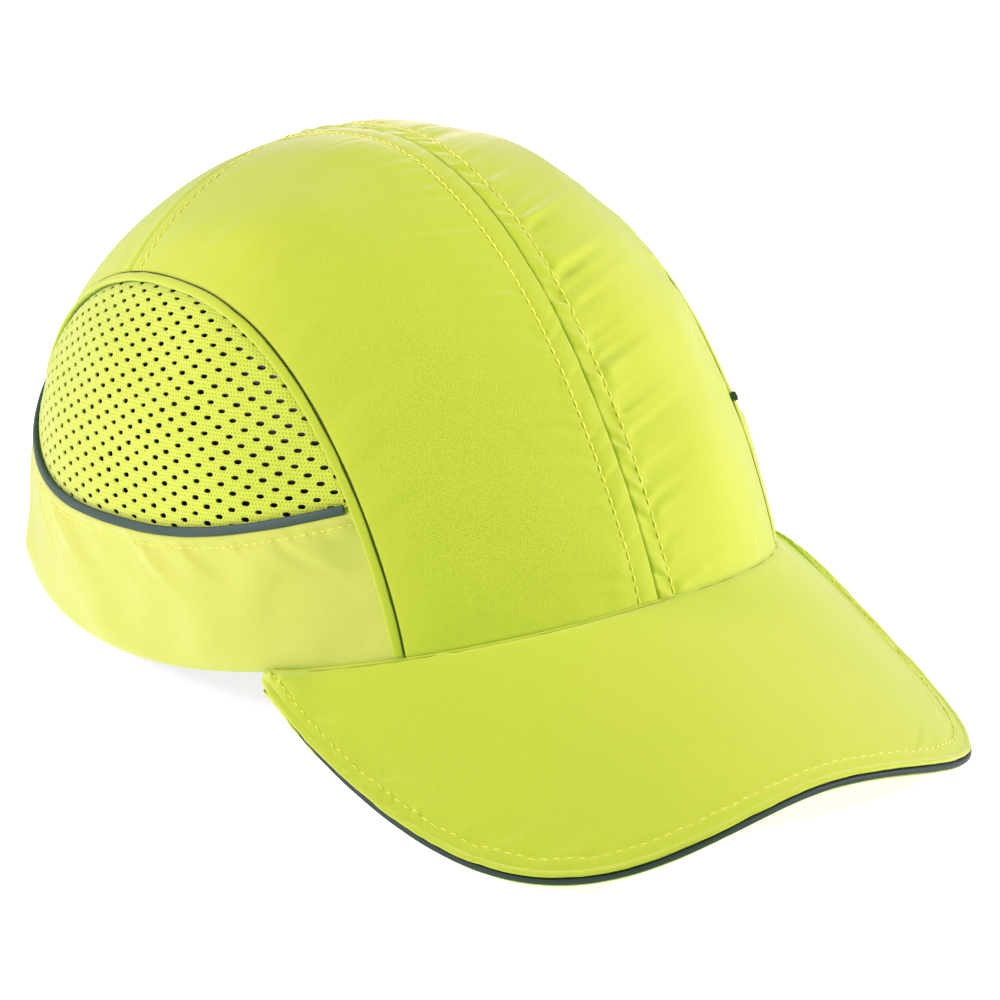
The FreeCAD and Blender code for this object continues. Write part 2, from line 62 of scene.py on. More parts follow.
# Brim, as in the CAD design.
BRIM_HALF_WIDTH, BRIM_BASE_Y, BRIM_LENGTH = 88.2, -42.0, 130.9
BRIM_SIDE_POWER, BRIM_FRONT_POWER = 2.89, 3.2
BRIM_SLOPE, BRIM_ROOT_HEIGHT, BRIM_CURL = 0.592, 10.6, 0.0055
BRIM_TUCK_START, BRIM_TUCK_LENGTH, BRIM_TUCK_IN, BRIM_TUCK_DOWN = -75.0, 27.0, 5.0, 10.4
BRIM_END_Y, BRIM_END_TURN = -48.0, math.radians(60.0)
BRIM_THICKNESS = 4.0

CLOTH = 0.7
DEEPEST = -0.62
MESH_PITCH = 4.25


# ---- the level frame ----------------------------------------------------------------------

def standing_frame():
    """Origin and axes of the level drawing in the row's frame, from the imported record."""
    opening = next(m for m in frame["record"]["mounts"] if m["name"] == "head_opening")
    slide = next(j for j in frame["joints"] if j["name"] == "shell_removal")
    up = -np.array(slide["axis"])
    back = np.array([0.0, up[2], -up[1]])
    origin = np.array(opening["pos_m"]) - up * 7 * MM
    return origin, np.array([[1.0, 0.0, 0.0], back, up])


ORIGIN, AXES = standing_frame()


def stand(points):
    """Level millimetres to the row's frame in metres."""
    return ORIGIN + np.asarray(points, float) @ AXES * MM


def solve(function, low, high):
    """Roots of rising functions, by halving intervals, for whole arrays at once."""
    low = np.array(low, float)
    high = np.array(high, float)
    for _ in range(34):
        middle = 0.5 * (low + high)
        above = function(middle) > 0
        high = np.where(above, middle, high)
        low = np.where(above, low, middle)
    return 0.5 * (low + high)


# ---- crown formula ------------------------------------------------------------------------

def plan_radius(turn):
    """Radius of the crown's foot at a heading; 0 is forward, a quarter turn is the wearer's left."""
    ahead = np.cos(turn) > 0
    reach = np.where(ahead, FRONT_REACH, REAR_REACH)
    power = np.where(ahead, FRONT_ROUNDNESS, REAR_ROUNDNESS)
    across = np.abs(np.sin(turn)) / HALF_WIDTH
    along = np.abs(np.cos(turn)) / reach
    return (across ** power + along ** power) ** (-1.0 / power)


def profile_rise(turn):
    """Power of the crown's profile at a heading."""
    end = np.where(np.cos(turn) > 0, FRONT_RISE, REAR_RISE)
    return SIDE_RISE + (end - SIDE_RISE) * np.cos(turn) ** 2


def dome(turn, climb, depth=0.0):
    """Points of the crown at headings and angles of climb, at a depth below the cloth."""
    share = np.sin(climb) ** profile_rise(turn)
    radius = (plan_radius(turn) - depth) * np.cos(climb)
    lean = FORWARD_LEAN * share ** 2
    height = (CROWN_HEIGHT - depth) * share
    return np.stack([radius * np.sin(turn), -radius * np.cos(turn) - lean, height], -1)


def climb_to(turn, height):
    """Angle of climb at which the crown has a height."""
    share = np.maximum(height, 0.02) / CROWN_HEIGHT
    return np.arcsin(np.minimum(share, 1.0) ** (1.0 / profile_rise(turn)))


def ring_point(turn, height, depth=0.0):
    """Points of the crown at headings and heights."""
    return dome(turn, climb_to(turn, height), depth)


def saddle(lateral, over):
    """Heading and climb from an angle to the side and an angle over the head."""
    turn = np.arctan2(np.sin(lateral), np.cos(lateral) * np.cos(over))
    climb = np.arcsin(np.cos(lateral) * np.sin(over))
    return turn, climb


def seam_half_width(y):
    """Distance of the side seams from the centre line."""
    behind = np.maximum(0.0, (y - SEAM_TAPER_START) / SEAM_TAPER_LENGTH)
    return SEAM_HALF_WIDTH - SEAM_TAPER * behind ** 1.5


def seam_table():
    """Angles over the head and to the side of the side seam."""
    over = np.radians(np.linspace(1, 179, 720))

    def outside(lateral):
        point = dome(*saddle(lateral, over))
        return point[..., 0] - seam_half_width(point[..., 1])
    return over, solve(outside, np.full(over.shape, 0.1), np.full(over.shape, 1.3))


SEAM_OVER, SEAM_LATERAL = seam_table()


def seam_lateral(over):
    return np.interp(over, SEAM_OVER, SEAM_LATERAL)


def piping_height(turn):
    """Height of the piping between mesh and band."""
    fore = np.cos(turn)
    front = PIPING_LOW + PIPING_FRONT_RISE * fore ** 2
    rear = PIPING_LOW + PIPING_REAR_RISE * fore ** 4
    return np.where(fore > 0, front, rear)


def hem_height(turn):
    """Height of the hem, on which the cap stands."""
    return HEM_MEAN + HEM_TILT * np.cos(turn) + HEM_WAVE * np.cos(2 * turn)


# ---- soft relief --------------------------------------------------------------------------

def ripple(along, step, seed):
    """Smooth one-way noise between about -1 and 1."""
    along = np.asarray(along, float)
    values = np.random.default_rng(seed).uniform(-1, 1, 600)
    place = along / step + 50
    index = np.floor(place).astype(int)
    share = place - index
    share = share * share * (3 - 2 * share)
    return values[index % 600] * (1 - share) + values[(index + 1) % 600] * share


def billow(a, b, size, seed, waves=7):
    """Smooth two-way noise of about unit height, from a few plane waves."""
    source = np.random.default_rng(seed)
    total = np.zeros(np.broadcast(a, b).shape)
    for _ in range(waves):
        heading = source.uniform(0, math.pi)
        length = size * source.uniform(0.7, 1.6)
        shift = source.uniform(0, 2 * math.pi)
        total += np.sin((a * math.cos(heading) + b * math.sin(heading)) * 2 * math.pi / length + shift)
    return total / math.sqrt(waves)


def kept_off(relief, lowest):
    """Relief that never sinks to the layers underneath."""
    return lowest + np.logaddexp(0.0, 8.0 * (relief - lowest)) / 8.0


def hill(distance, centre, width):
    return np.exp(-((distance - centre) / width) ** 2)


# ---- meshes -------------------------------------------------------------------------------

def grid_area(points):
    """Area of a grid of points, in square metres."""
    a, b, c, d = points[:-1, :-1], points[1:, :-1], points[1:, 1:], points[:-1, 1:]
    return float(0.5 * np.linalg.norm(np.cross(c - a, d - b), axis=-1).sum()) * MM * MM


def path_lengths(points):
    steps = np.linalg.norm(np.diff(points, axis=0), axis=-1)
    return np.concatenate([[0.0], np.cumsum(steps)])


def grid_uv(along, across):
    """Cloth coordinates of a grid, from lengths along and across it."""
    return np.stack(np.meshgrid(along, across, indexing="ij"), -1)


def add_mesh(name, vertices, faces, uv=None, smooth_angle=40.0):
    """New object from level millimetres; uv is one pair of millimetres for each vertex."""
    mesh = bpy.data.meshes.new(name)
    mesh.from_pydata(stand(vertices).tolist(), [], faces)
    mesh.update()
    mesh.polygons.foreach_set("use_smooth", np.ones(len(mesh.polygons), bool))
    if uv is not None:
        layer = mesh.uv_layers.new(name="cloth")
        corners = np.empty(len(mesh.loops), np.int32)
        mesh.loops.foreach_get("vertex_index", corners)
        layer.data.foreach_set("uv", np.asarray(uv, np.float32)[corners].ravel())
    mesh.set_sharp_from_angle(angle=math.radians(smooth_angle))
    made = bpy.data.objects.new(name, mesh)
    bpy.context.scene.collection.objects.link(made)
    return made


def grid_faces(columns, rows, start=0, flip=False):
    faces = []
    for i in range(columns):
        for j in range(rows):
            a = start + i * (rows + 1) + j
            b = a + rows + 1
            quad = (a, b, b + 1, a + 1)
            faces.append(quad[::-1] if flip else quad)
    return faces


def tube_faces(rings, sides, start=0, flip=False):
    """Faces of a tube of rings of vertices, with both its ends."""
    faces = []
    for i in range(rings - 1):
        for j in range(sides):
            a = start + i * sides + j
            b = start + i * sides + (j + 1) % sides
            faces.append((b, a, a + sides, b + sides) if flip else (a, b, b + sides, a + sides))
    first = tuple(range(start, start + sides))
    last = tuple(k + (rings - 1) * sides for k in first)
    faces += [first, last[::-1]] if flip else [first[::-1], last]
    return faces


def rim_indices(columns, rows):
    """Vertices round the edge of a grid, in order."""
    width = rows + 1
    ring = [i * width for i in range(columns)]
    ring += [columns * width + j for j in range(rows)]
    ring += [i * width + rows for i in range(columns, 0, -1)]
    ring += [j for j in range(rows, 0, -1)]
    return ring


def sheet_mesh(name, outer, inner, uv=None, flip=False):
    """Closed sheet between two grids of points."""
    columns, rows = outer.shape[0] - 1, outer.shape[1] - 1
    count = (columns + 1) * (rows + 1)
    faces = grid_faces(columns, rows, 0, flip) + grid_faces(columns, rows, count, not flip)
    ring = rim_indices(columns, rows)
    for first, second in zip(ring, ring[1:] + ring[:1]):
        quad = (second, first, first + count, second + count)
        faces.append(quad[::-1] if flip else quad)
    vertices = np.concatenate([outer.reshape(-1, 3), inner.reshape(-1, 3)])
    if uv is None:
        along = np.linspace(0, 1, columns + 1) * path_lengths(outer[:, rows // 2])[-1]
        across = np.linspace(0, 1, rows + 1) * path_lengths(outer[columns // 2])[-1]
        uv = grid_uv(along, across)
    uv = uv.reshape(-1, 2)
    return add_mesh(name, vertices, faces, np.concatenate([uv, uv]))


def mirrored(points):
    return points * np.array([-1.0, 1.0, 1.0])


def on_side(side, *grids):
    """Grids of points on the wearer's left (1) as drawn, or on the right (-1) as a mirror image."""
    return grids if side > 0 else tuple(mirrored(grid) for grid in grids)


def unit(vectors):
    return vectors / np.linalg.norm(vectors, axis=-1, keepdims=True)


def frames_along(path):
    """Unit tangents of a path."""
    return unit(np.gradient(path, axis=0))


def section_axes(path, outward):
    """Tangents of a path and the outward directions squared up to them."""
    tangent = frames_along(path)
    return tangent, unit(outward - (outward * tangent).sum(-1, keepdims=True) * tangent)


def tube_mesh(name, path, outward, half_width, half_height, sides=14):
    """Tube of oval section along a path; outward is the section's height direction."""
    tangent, outward = section_axes(path, outward)
    across = np.cross(tangent, outward)
    angle = np.linspace(0, 2 * math.pi, sides, endpoint=False)
    width = np.broadcast_to(np.asarray(half_width, float), (len(path),))[:, None, None]
    height = np.broadcast_to(np.asarray(half_height, float), (len(path),))[:, None, None]
    section = (across[:, None] * np.cos(angle)[None, :, None] * width
               + outward[:, None] * np.sin(angle)[None, :, None] * height)
    vertices = (path[:, None] + section).reshape(-1, 3)
    faces = tube_faces(len(path), sides)
    along = np.repeat(path_lengths(path), sides)
    around = np.tile(angle * 1.5, len(path))
    return add_mesh(name, vertices, faces, np.stack([along, around], -1), 60.0)


def stitch_row(path, outward, length=2.3, gap=1.0, radius=0.24):
    """Vertices and faces of one row of sewn stitches along a path."""
    distance = path_lengths(path)
    pitch = length + gap
    count = int(distance[-1] // pitch)
    sides = 6
    stations = np.linspace(-0.5, 0.5, 7)
    vertices, faces = [], []
    for index in range(count):
        middle = (index + 0.5) * pitch
        spots = middle + stations * length
        centre = np.stack([np.interp(spots, distance, path[:, k]) for k in range(3)], -1)
        raised = np.stack([np.interp(spots, distance, outward[:, k]) for k in range(3)], -1)
        raised = unit(raised)
        arc = np.cos(stations * math.pi)
        centre = centre + raised * (0.34 * arc - 0.16)[:, None]
        tangent = frames_along(centre)
        side = np.cross(tangent, raised)
        size = radius * (0.35 + 0.65 * np.sqrt(np.clip(arc, 0, 1)))
        start = len(vertices)
        for station in range(len(stations)):
            for k in range(sides):
                angle = 2 * math.pi * k / sides
                offset = side[station] * math.cos(angle) + raised[station] * math.sin(angle)
                vertices.append(centre[station] + offset * size[station])
        faces += tube_faces(len(stations), sides, start)
    return vertices, faces


def stitches(name, rows, **sizes):
    """One object of several stitch rows, each a path and its outward directions."""
    vertices, faces = [], []
    for path, outward in rows:
        more, more_faces = stitch_row(path, outward, **sizes)
        faces += [tuple(i + len(vertices) for i in face) for face in more_faces]
        vertices += more
    return add_mesh(name, np.array(vertices), faces, np.zeros((len(vertices), 2)), 80.0)


def surface_path(turn, climb, depth):
    """Path on the crown with its outward directions."""
    path = dome(turn, climb, depth)
    return path, dome(turn, climb, depth - 1.0) - path


# ---- materials ----------------------------------------------------------------------------

# LIME_BAND_PAINTED_LIGHT is the crown's lime cloth made paler and yellower: painted light on the bands, which the
# side lamp lights more brightly.
LIME, LIME_BAND_PAINTED_LIGHT, LIME_PALE = (0.440, 0.660, 0.031), (0.480, 0.650, 0.080), (0.54, 0.80, 0.06)
# Dark olive of the pinholes: painted shade inside them.
PINHOLE_PAINTED_SHADE = (0.16, 0.22, 0.01)
LIME_SHEEN = (0.82, 1.0, 0.55)
SHEEN_POWER, SHEEN_WEIGHT, SHEEN_ROUGHNESS = 1.2, 0.8, 0.6
KNIT_RIB, PINS_PER_HOLE = 0.53, 4


class Nodes:
    """Short way to write a node tree."""

    def __init__(self, name):
        self.material = bpy.data.materials.new(name)
        self.material.use_nodes = True
        self.tree = self.material.node_tree
        self.shader = next(n for n in self.tree.nodes if n.type == "BSDF_PRINCIPLED")

    def put(self, socket, value):
        if isinstance(value, bpy.types.NodeSocket):
            self.tree.links.new(value, socket)
        else:
            socket.default_value = value

    def math(self, operation, a, b=None):
        node = self.tree.nodes.new("ShaderNodeMath")
        node.operation = operation
        self.put(node.inputs[0], a)
        if b is not None:
            self.put(node.inputs[1], b)
        return node.outputs[0]

    def wave(self, value, length, kind="SINE"):
        return self.math(kind, self.math("MULTIPLY", value, 2 * math.pi / length))

    def noise(self, vector, scale, detail=3.0):
        node = self.tree.nodes.new("ShaderNodeTexNoise")
        self.put(node.inputs["Vector"], vector)
        node.inputs["Scale"].default_value = scale
        node.inputs["Detail"].default_value = detail
        return node.outputs["Fac"]

    def blend(self, share, first, second):
        node = self.tree.nodes.new("ShaderNodeMix")
        node.data_type = "RGBA"
        self.put(node.inputs["Factor"], share)
        self.put(node.inputs[6], first)
        self.put(node.inputs[7], second)
        return node.outputs[2]

    def span(self, value, low, high):
        node = self.tree.nodes.new("ShaderNodeMapRange")
        self.put(node.inputs["Value"], value)
        node.inputs["To Min"].default_value = low
        node.inputs["To Max"].default_value = high
        return node.outputs["Result"]

    def flat(self):
        """Cloth coordinates in millimetres, as two values."""
        uv = self.tree.nodes.new("ShaderNodeUVMap")
        uv.uv_map = "cloth"
        split = self.tree.nodes.new("ShaderNodeSeparateXYZ")
        self.tree.links.new(uv.outputs[0], split.inputs[0])
        return split.outputs[0], split.outputs[1]

    def place(self):
        return self.tree.nodes.new("ShaderNodeTexCoord").outputs["Object"]

    def bump(self, height, strength, distance):
        node = self.tree.nodes.new("ShaderNodeBump")
        self.put(node.inputs["Height"], height)
        node.inputs["Strength"].default_value = strength
        node.inputs["Distance"].default_value = distance
        self.tree.links.new(node.outputs[0], self.shader.inputs["Normal"])

    def sheen(self, tint):
        """Sheen of fluorescent cloth: none where it faces the eye, most at a glancing angle."""
        facing = self.tree.nodes.new("ShaderNodeLayerWeight")
        facing.inputs["Blend"].default_value = 0.5
        rising = self.math("POWER", facing.outputs["Facing"], SHEEN_POWER)
        self.put(self.shader.inputs["Sheen Weight"], self.math("MULTIPLY", rising, SHEEN_WEIGHT))
        self.put(self.shader.inputs["Sheen Roughness"], SHEEN_ROUGHNESS)
        self.put(self.shader.inputs["Sheen Tint"], shade(tint, 1.0))

    def finish(self, colour, roughness, **more):
        self.put(self.shader.inputs["Base Color"], colour)
        self.put(self.shader.inputs["Roughness"], roughness)
        for key, value in more.items():
            self.put(self.shader.inputs[key], value)
        return self.material


def shade(colour, factor):
    return (colour[0] * factor, colour[1] * factor, colour[2] * factor, 1.0)


def weave_height(n, thread):
    """Crossing threads of a plain weave in the cloth's own coordinates."""
    u, v = n.flat()
    return n.math("MULTIPLY", n.wave(u, thread), n.wave(v, thread))


def woven(name, colour, sheen_tint=None, thread=0.55, depth=0.05, roughness=0.8, tones=0.10):
    """Woven cloth: crossing threads, uneven yarn and broad changes of tone."""
    n = Nodes(name)
    weave = weave_height(n, thread)
    place = n.place()
    broad, yarn = n.noise(place, 16.0, 2.0), n.noise(place, 1100.0, 2.0)
    tone_and_shade = n.math("ADD", n.span(broad, -0.5, 0.5), n.span(yarn, -0.5, 0.5))
    # The weave adds to the tone, lighter where the threads rise: painted shade between the threads, over a random
    # tone from the noise above.
    tone_and_shade = n.math("ADD", n.math("MULTIPLY", tone_and_shade, 0.5), n.math("MULTIPLY", weave, 0.25))
    mixed = n.blend(n.math("ADD", tone_and_shade, 0.5), shade(colour, 1 - tones), shade(colour, 1 + tones))
    n.bump(n.math("ADD", weave, n.math("MULTIPLY", n.noise(place, 1400.0, 2.0), 0.8)), 0.5, depth * MM)
    if sheen_tint:
        n.sheen(sheen_tint)
    return n.finish(mixed, roughness, **{"Specular IOR Level": 0.2})


def lime_cloth(name, colour=LIME):
    return woven(name, colour, LIME_SHEEN, tones=0.07)


def knit(name):
    """Knitted mesh: fine ribs round the head, lighter on their crests as painted light, and rows of pinholes
    between the large holes, painted dark as painted shade.
    """
    n = Nodes(name)
    u, v = n.flat()
    rib, wale = n.wave(v, KNIT_RIB), n.wave(u, KNIT_RIB)
    pitch = MESH_PITCH / PINS_PER_HOLE
    dots = n.math("MULTIPLY", n.wave(u, pitch, "COSINE"), n.wave(v, 2 * pitch, "COSINE"))
    pins = n.math("GREATER_THAN", dots, 0.72)
    place = n.place()
    # The ribs add to the tone, lighter on their crests: painted light, over a random tone from noise.
    tone_and_shade = n.math("ADD", n.math("MULTIPLY", rib, 0.25), n.span(n.noise(place, 1000.0, 2.0), 0.2, 0.8))
    mixed = n.blend(tone_and_shade, shade(LIME, 0.98), shade(LIME_PALE, 1.02))
    # Pinholes painted dark olive: painted shade inside them.
    mixed = n.blend(n.math("MULTIPLY", pins, 0.75), mixed, shade(PINHOLE_PAINTED_SHADE, 1.0))
    height = n.math("ADD", n.math("MULTIPLY", rib, 0.6), n.math("MULTIPLY", wale, 0.4))
    n.bump(n.math("SUBTRACT", height, n.math("MULTIPLY", pins, 2.0)), 0.6, 0.06 * MM)
    n.sheen(LIME_SHEEN)
    return n.finish(mixed, 0.8, **{"Specular IOR Level": 0.2})


def reflective(name, tone_and_shade):
    """Grey retroreflective tape: fine glass beads over a dull silver ground."""
    n = Nodes(name)
    place = n.place()
    beads = n.noise(place, 5200.0, 1.0)
    cloud = n.noise(place, 60.0, 3.0)
    # The last argument scales the tape's colour; its lower value for the brim's piping is painted shade.
    colour = n.blend(n.math("ADD", n.math("MULTIPLY", beads, 0.6), n.math("MULTIPLY", cloud, 0.5)),
                     shade((0.024, 0.062, 0.030), tone_and_shade), shade((0.058, 0.140, 0.072), tone_and_shade))
    n.bump(beads, 0.4, 0.03 * MM)
    return n.finish(colour, n.span(cloud, 0.5, 0.7), **{"Metallic": 0.2, "Specular IOR Level": 0.3})


def terry(name):
    """Black towelling: loops of pile, a little brighter at their tips: painted light, as the colour follows the
    loops' height.
    """
    n = Nodes(name)
    place = n.place()
    loops = n.noise(place, 1300.0, 3.0)
    clumps = n.noise(place, 380.0, 2.0)
    height = n.math("ADD", loops, n.math("MULTIPLY", clumps, 0.7))
    colour = n.blend(n.span(loops, 0.0, 1.0), (0.010, 0.010, 0.011, 1), (0.055, 0.055, 0.058, 1))
    n.bump(height, 0.9, 0.35 * MM)
    return n.finish(colour, 0.95, **{"Sheen Weight": 0.35, "Sheen Roughness": 0.5,
                                     "Specular IOR Level": 0.15})


def pile(name, colour, scale):
    """Hook or loop tape: a dense fuzzy pile."""
    n = Nodes(name)
    place = n.place()
    fuzz = n.noise(place, scale, 4.0)
    # Colour follows the fuzz that also raises the bump: painted shade low in the pile and painted light on its
    # tips.
    mixed = n.blend(fuzz, shade(colour, 0.5), shade(colour, 2.4))
    n.bump(fuzz, 1.0, 0.4 * MM)
    return n.finish(mixed, 0.9, **{"Sheen Weight": 0.3, "Specular IOR Level": 0.2})


def foam(name):
    """Closed-cell foam with a fine skin."""
    n = Nodes(name)
    place = n.place()
    cells = n.tree.nodes.new("ShaderNodeTexVoronoi")
    n.put(cells.inputs["Vector"], place)
    cells.inputs["Scale"].default_value = 1500.0
    cloud = n.noise(place, 90.0, 3.0)
    # Colour follows the cells' distance that also raises the bump: painted shade in the cells' hollows, with a
    # random cloud.
    share = n.math("ADD", n.math("MULTIPLY", cells.outputs["Distance"], 0.6), n.math("MULTIPLY", cloud, 0.3))
    mixed = n.blend(share, (0.030, 0.030, 0.031, 1), (0.075, 0.075, 0.078, 1))
    n.bump(cells.outputs["Distance"], 0.5, 0.08 * MM)
    return n.finish(mixed, 0.85, **{"Specular IOR Level": 0.25})


def moulded(name, colour, roughness, scale):
    """Moulded plastic: a fine spark-eroded grain with uneven gloss."""
    n = Nodes(name)
    place = n.place()
    grain = n.noise(place, scale, 3.0)
    cloud = n.noise(place, 30.0, 3.0)
    mixed = n.blend(n.span(cloud, 0.3, 0.7), shade(colour, 0.85), shade(colour, 1.25))
    n.bump(grain, 0.35, 0.05 * MM)
    return n.finish(mixed, n.span(cloud, roughness - 0.05, roughness + 0.08))


MATERIALS = {
    "lime": lime_cloth("lime_cloth"),
    # Paler copy of the lime cloth for the bands and the arch binding: painted light.
    "lime_band_painted_light": lime_cloth("lime_band_cloth_painted_light", LIME_BAND_PAINTED_LIGHT),
    "lime_brim": lime_cloth("lime_brim_cloth"),
    "mesh": knit("lime_knit"),
    "reflective": reflective("reflective_tape", 0.9),
    # Darker copy of the same tape (0.6 against 0.9) for the brim's piping: painted shade, as it lies in shadow
    # under the brim's edge.
    "reflective_rim_painted_shade": reflective("reflective_rim_tape_painted_shade", 0.6),
    # Dark green cloth for the cord laid in the side seams' gap: painted shade of the gap.
    "gap": woven("dark_gap_painted_shade", (0.05, 0.09, 0.005)),
    # Olive cloth for the cords laid in the centre and brim seams: painted shade of their grooves.
    "gap_pale_painted_shade": woven("olive_gap_painted_shade", (0.25, 0.33, 0.01)),
    "thread": woven("lime_thread", (0.84, 0.93, 0.12), thread=0.3),
    "dark_thread": woven("dark_thread", (0.03, 0.03, 0.03), thread=0.3),
    "terry": terry("black_terry"),
    "tape": woven("black_tape", (0.02, 0.02, 0.021), thread=0.6),
    "label": woven("white_label", (0.72, 0.72, 0.70), thread=0.35),
    "webbing": woven("lime_webbing", (0.45, 0.64, 0.03), thread=1.1),
    "loop": pile("loop_pile", (0.025, 0.025, 0.026), 1500.0),
    "hook": pile("hook_pile", (0.02, 0.02, 0.02), 900.0),
    "foam": foam("pad_foam"),
    "shell": moulded("shell_plastic", (0.014, 0.014, 0.015), 0.42, 1400.0),
    "ring": moulded("ring_plastic", (0.02, 0.02, 0.022), 0.3, 2200.0),
    "board": moulded("board_plastic", (0.6, 0.6, 0.58), 0.5, 900.0),
}


def finish_piece(piece, body, material, slot, *nodes):
    """Give a piece its material, its body and the CAD nodes it stands for, which are hidden; its slot is not used.
    """
    piece.data.materials.clear()
    piece.data.materials.append(MATERIALS[material])
    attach(piece, body)
    if nodes:
        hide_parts(*nodes)
    return piece


def sew(body, material, slot, name, rows, **sizes):
    """One piece of stitches along rows of paths."""
    return finish_piece(stitches(name, rows, **sizes), body, material, slot)


# ---- crown cloth --------------------------------------------------------------------------

def graded(count, crowd):
    """Even steps from 0 to 1, crowded towards both ends."""
    even = np.linspace(0.0, 1.0, count + 1)
    return even + crowd * (0.5 - 0.5 * np.cos(math.pi * even) - even)


def runs(points, axis):
    """Length along a grid from its first edge to each of its points."""
    steps = np.linalg.norm(np.diff(points, axis=axis), axis=-1)
    start = np.zeros_like(np.take(steps, [0], axis=axis))
    return np.concatenate([start, np.cumsum(steps, axis=axis)], axis=axis)


def crossing(share, measure, first, last):
    """Angles over the head, between two in degrees, where a measure of heading and climb rises past 0."""
    def rising(over):
        return measure(*saddle(share * seam_lateral(over), over))
    return solve(rising, np.full(share.shape, math.radians(first)), np.full(share.shape, math.radians(last)))


def front_over(share):
    """Where the front panels meet the hem."""
    return crossing(share, lambda turn, climb: climb - climb_to(turn, hem_height(turn)), 1, 60)


def rear_seam_over(share):
    """Where the front panels meet the rear panel."""
    return crossing(share, lambda turn, climb: dome(turn, climb)[..., 1] - REAR_SEAM_Y, 60, 170)


def rear_foot_over(share):
    """Where the rear panel meets the bands."""
    return crossing(share, lambda turn, climb: climb_to(turn, piping_height(turn)) - climb, 120, 178)


def strip(low_share, high_share, columns, rows, start, finish):
    """Headings and climbs of a panel between two shares of the way to the side seam."""
    share = low_share + (high_share - low_share) * graded(columns, 0.55)
    first, last = start(share), finish(share)
    over = first[:, None] + (last - first)[:, None] * graded(rows, 0.4)[None]
    return saddle(share[:, None] * seam_lateral(over), over)


class Panel:
    """A cut piece of crown cloth, with the lengths across and along it."""

    def __init__(self, turn, climb):
        self.turn, self.climb = turn, climb
        base = dome(turn, climb)
        self.across = runs(base, 0)
        self.along = runs(base, 1)
        self.width = self.across[-1:, :]
        self.length = self.along[:, -1:]
        self.relief = np.zeros(turn.shape)
        middle = self.across[:, turn.shape[1] // 2, None]
        self.uv = np.stack([self.across - self.width * 0.5 + middle[len(middle) // 2, 0], self.along], -1)

    def sheet(self, name, side=1, thickness=CLOTH):
        outer = dome(self.turn, self.climb, -self.relief)
        inner = dome(self.turn, self.climb, thickness - self.relief)
        return sheet_mesh(name, *on_side(side, outer, inner), self.uv, side < 0)

    def flat_size(self):
        """Width, length and area of the cut, in metres, from its smooth shape."""
        area = grid_area(dome(self.turn, self.climb))
        return (float(self.width.max()) * MM, float(self.length.max()) * MM), area


def declare_panel(panel):
    """Work out what a panel's cut measures, and its area where it is far from a rectangle; nothing is done with
    them.
    """
    flat, area = panel.flat_size()
    share = area / (flat[0] * flat[1])
    area if share < 0.97 else None


def away_from_edges(panel):
    """Nothing at a panel's edges, and nearly 1 from about 15 mm in."""
    nearest = np.minimum(np.minimum(panel.across, panel.width - panel.across),
                         np.minimum(panel.along, panel.length - panel.along))
    return 1 - np.exp(-(nearest / 9.0) ** 2)


def soft_front(panel, stitch, strong, seed):
    """Relief of a front panel: its seams, its puckers and slack in the cloth."""
    across, along = panel.across, panel.along
    side = panel.width - across
    rear = panel.length - along
    # Centre seam: a tucked edge, a welt and a sunk row of stitches.
    relief = -0.55 * hill(across, 0.0, 0.30) + 0.28 * hill(across, 0.5 * stitch, 0.45 * stitch)
    relief += -0.16 * hill(across, stitch, 0.6)
    # Puckers: pillows between seam and stitches, and folds that fade out beyond them.
    held = 1 - 0.75 * hill(across, stitch, 0.8)
    beyond = np.clip(across - stitch, 0, None)
    pillow = ripple(along + 0.5 * across, 2.3, seed)
    streak = ripple(along - 0.25 * across, 2.6, seed + 1)
    streak += 0.8 * ripple(along - 0.12 * across, 5.2, seed + 2)
    middle = 0.45 + 0.55 * hill(along / panel.length, 0.40, 0.36)
    reach = 7.0 + 3.5 * ripple(along, 6.0, seed + 7)
    puckers = 1.15 * pillow * hill(across, 0.55 * stitch, 0.5 * stitch) * (across < stitch)
    puckers += 1.75 * streak * np.exp(-beyond / reach) * (1 - np.exp(-(beyond / 2.2) ** 2))
    relief += strong * middle * held * puckers
    # Side seam, with soft folds beside it.
    wave = ripple(along - 0.5 * side, 5.5, seed + 3)
    relief += -0.75 * hill(side, 0.0, 0.45) + 0.16 * (1 - np.exp(-(side / 2.0) ** 2))
    relief += 0.55 * wave * hill(side, 11.0, 9.0) * hill(along / panel.length, 0.42, 0.35)
    # Foot, on the brim's seam, and the rear edge with its stitches.
    hem_wave = ripple(across, 4.0, seed + 4)
    relief += -0.5 * hill(along, 0.0, 0.5) + 0.14 * hem_wave * hill(along, 4.0, 4.0)
    rear_wave = ripple(across, 3.2, seed + 5)
    relief += -0.7 * hill(rear, 0.0, 0.5) + 0.22 * hill(rear, 2.6, 2.0) - 0.2 * hill(rear, 5.2, 0.6)
    relief += 0.14 * rear_wave * hill(rear, 5.0, 4.0)
    # Slack, away from every edge.
    slack = (0.35 + 0.35 * strong) * billow(across, along, 52.0, seed + 6)
    slack += 0.22 * billow(across, along, 24.0, seed + 8)
    return kept_off(relief + slack * away_from_edges(panel), DEEPEST)


FIRST_COLUMN, LAST_ROW = "first column", "last row"


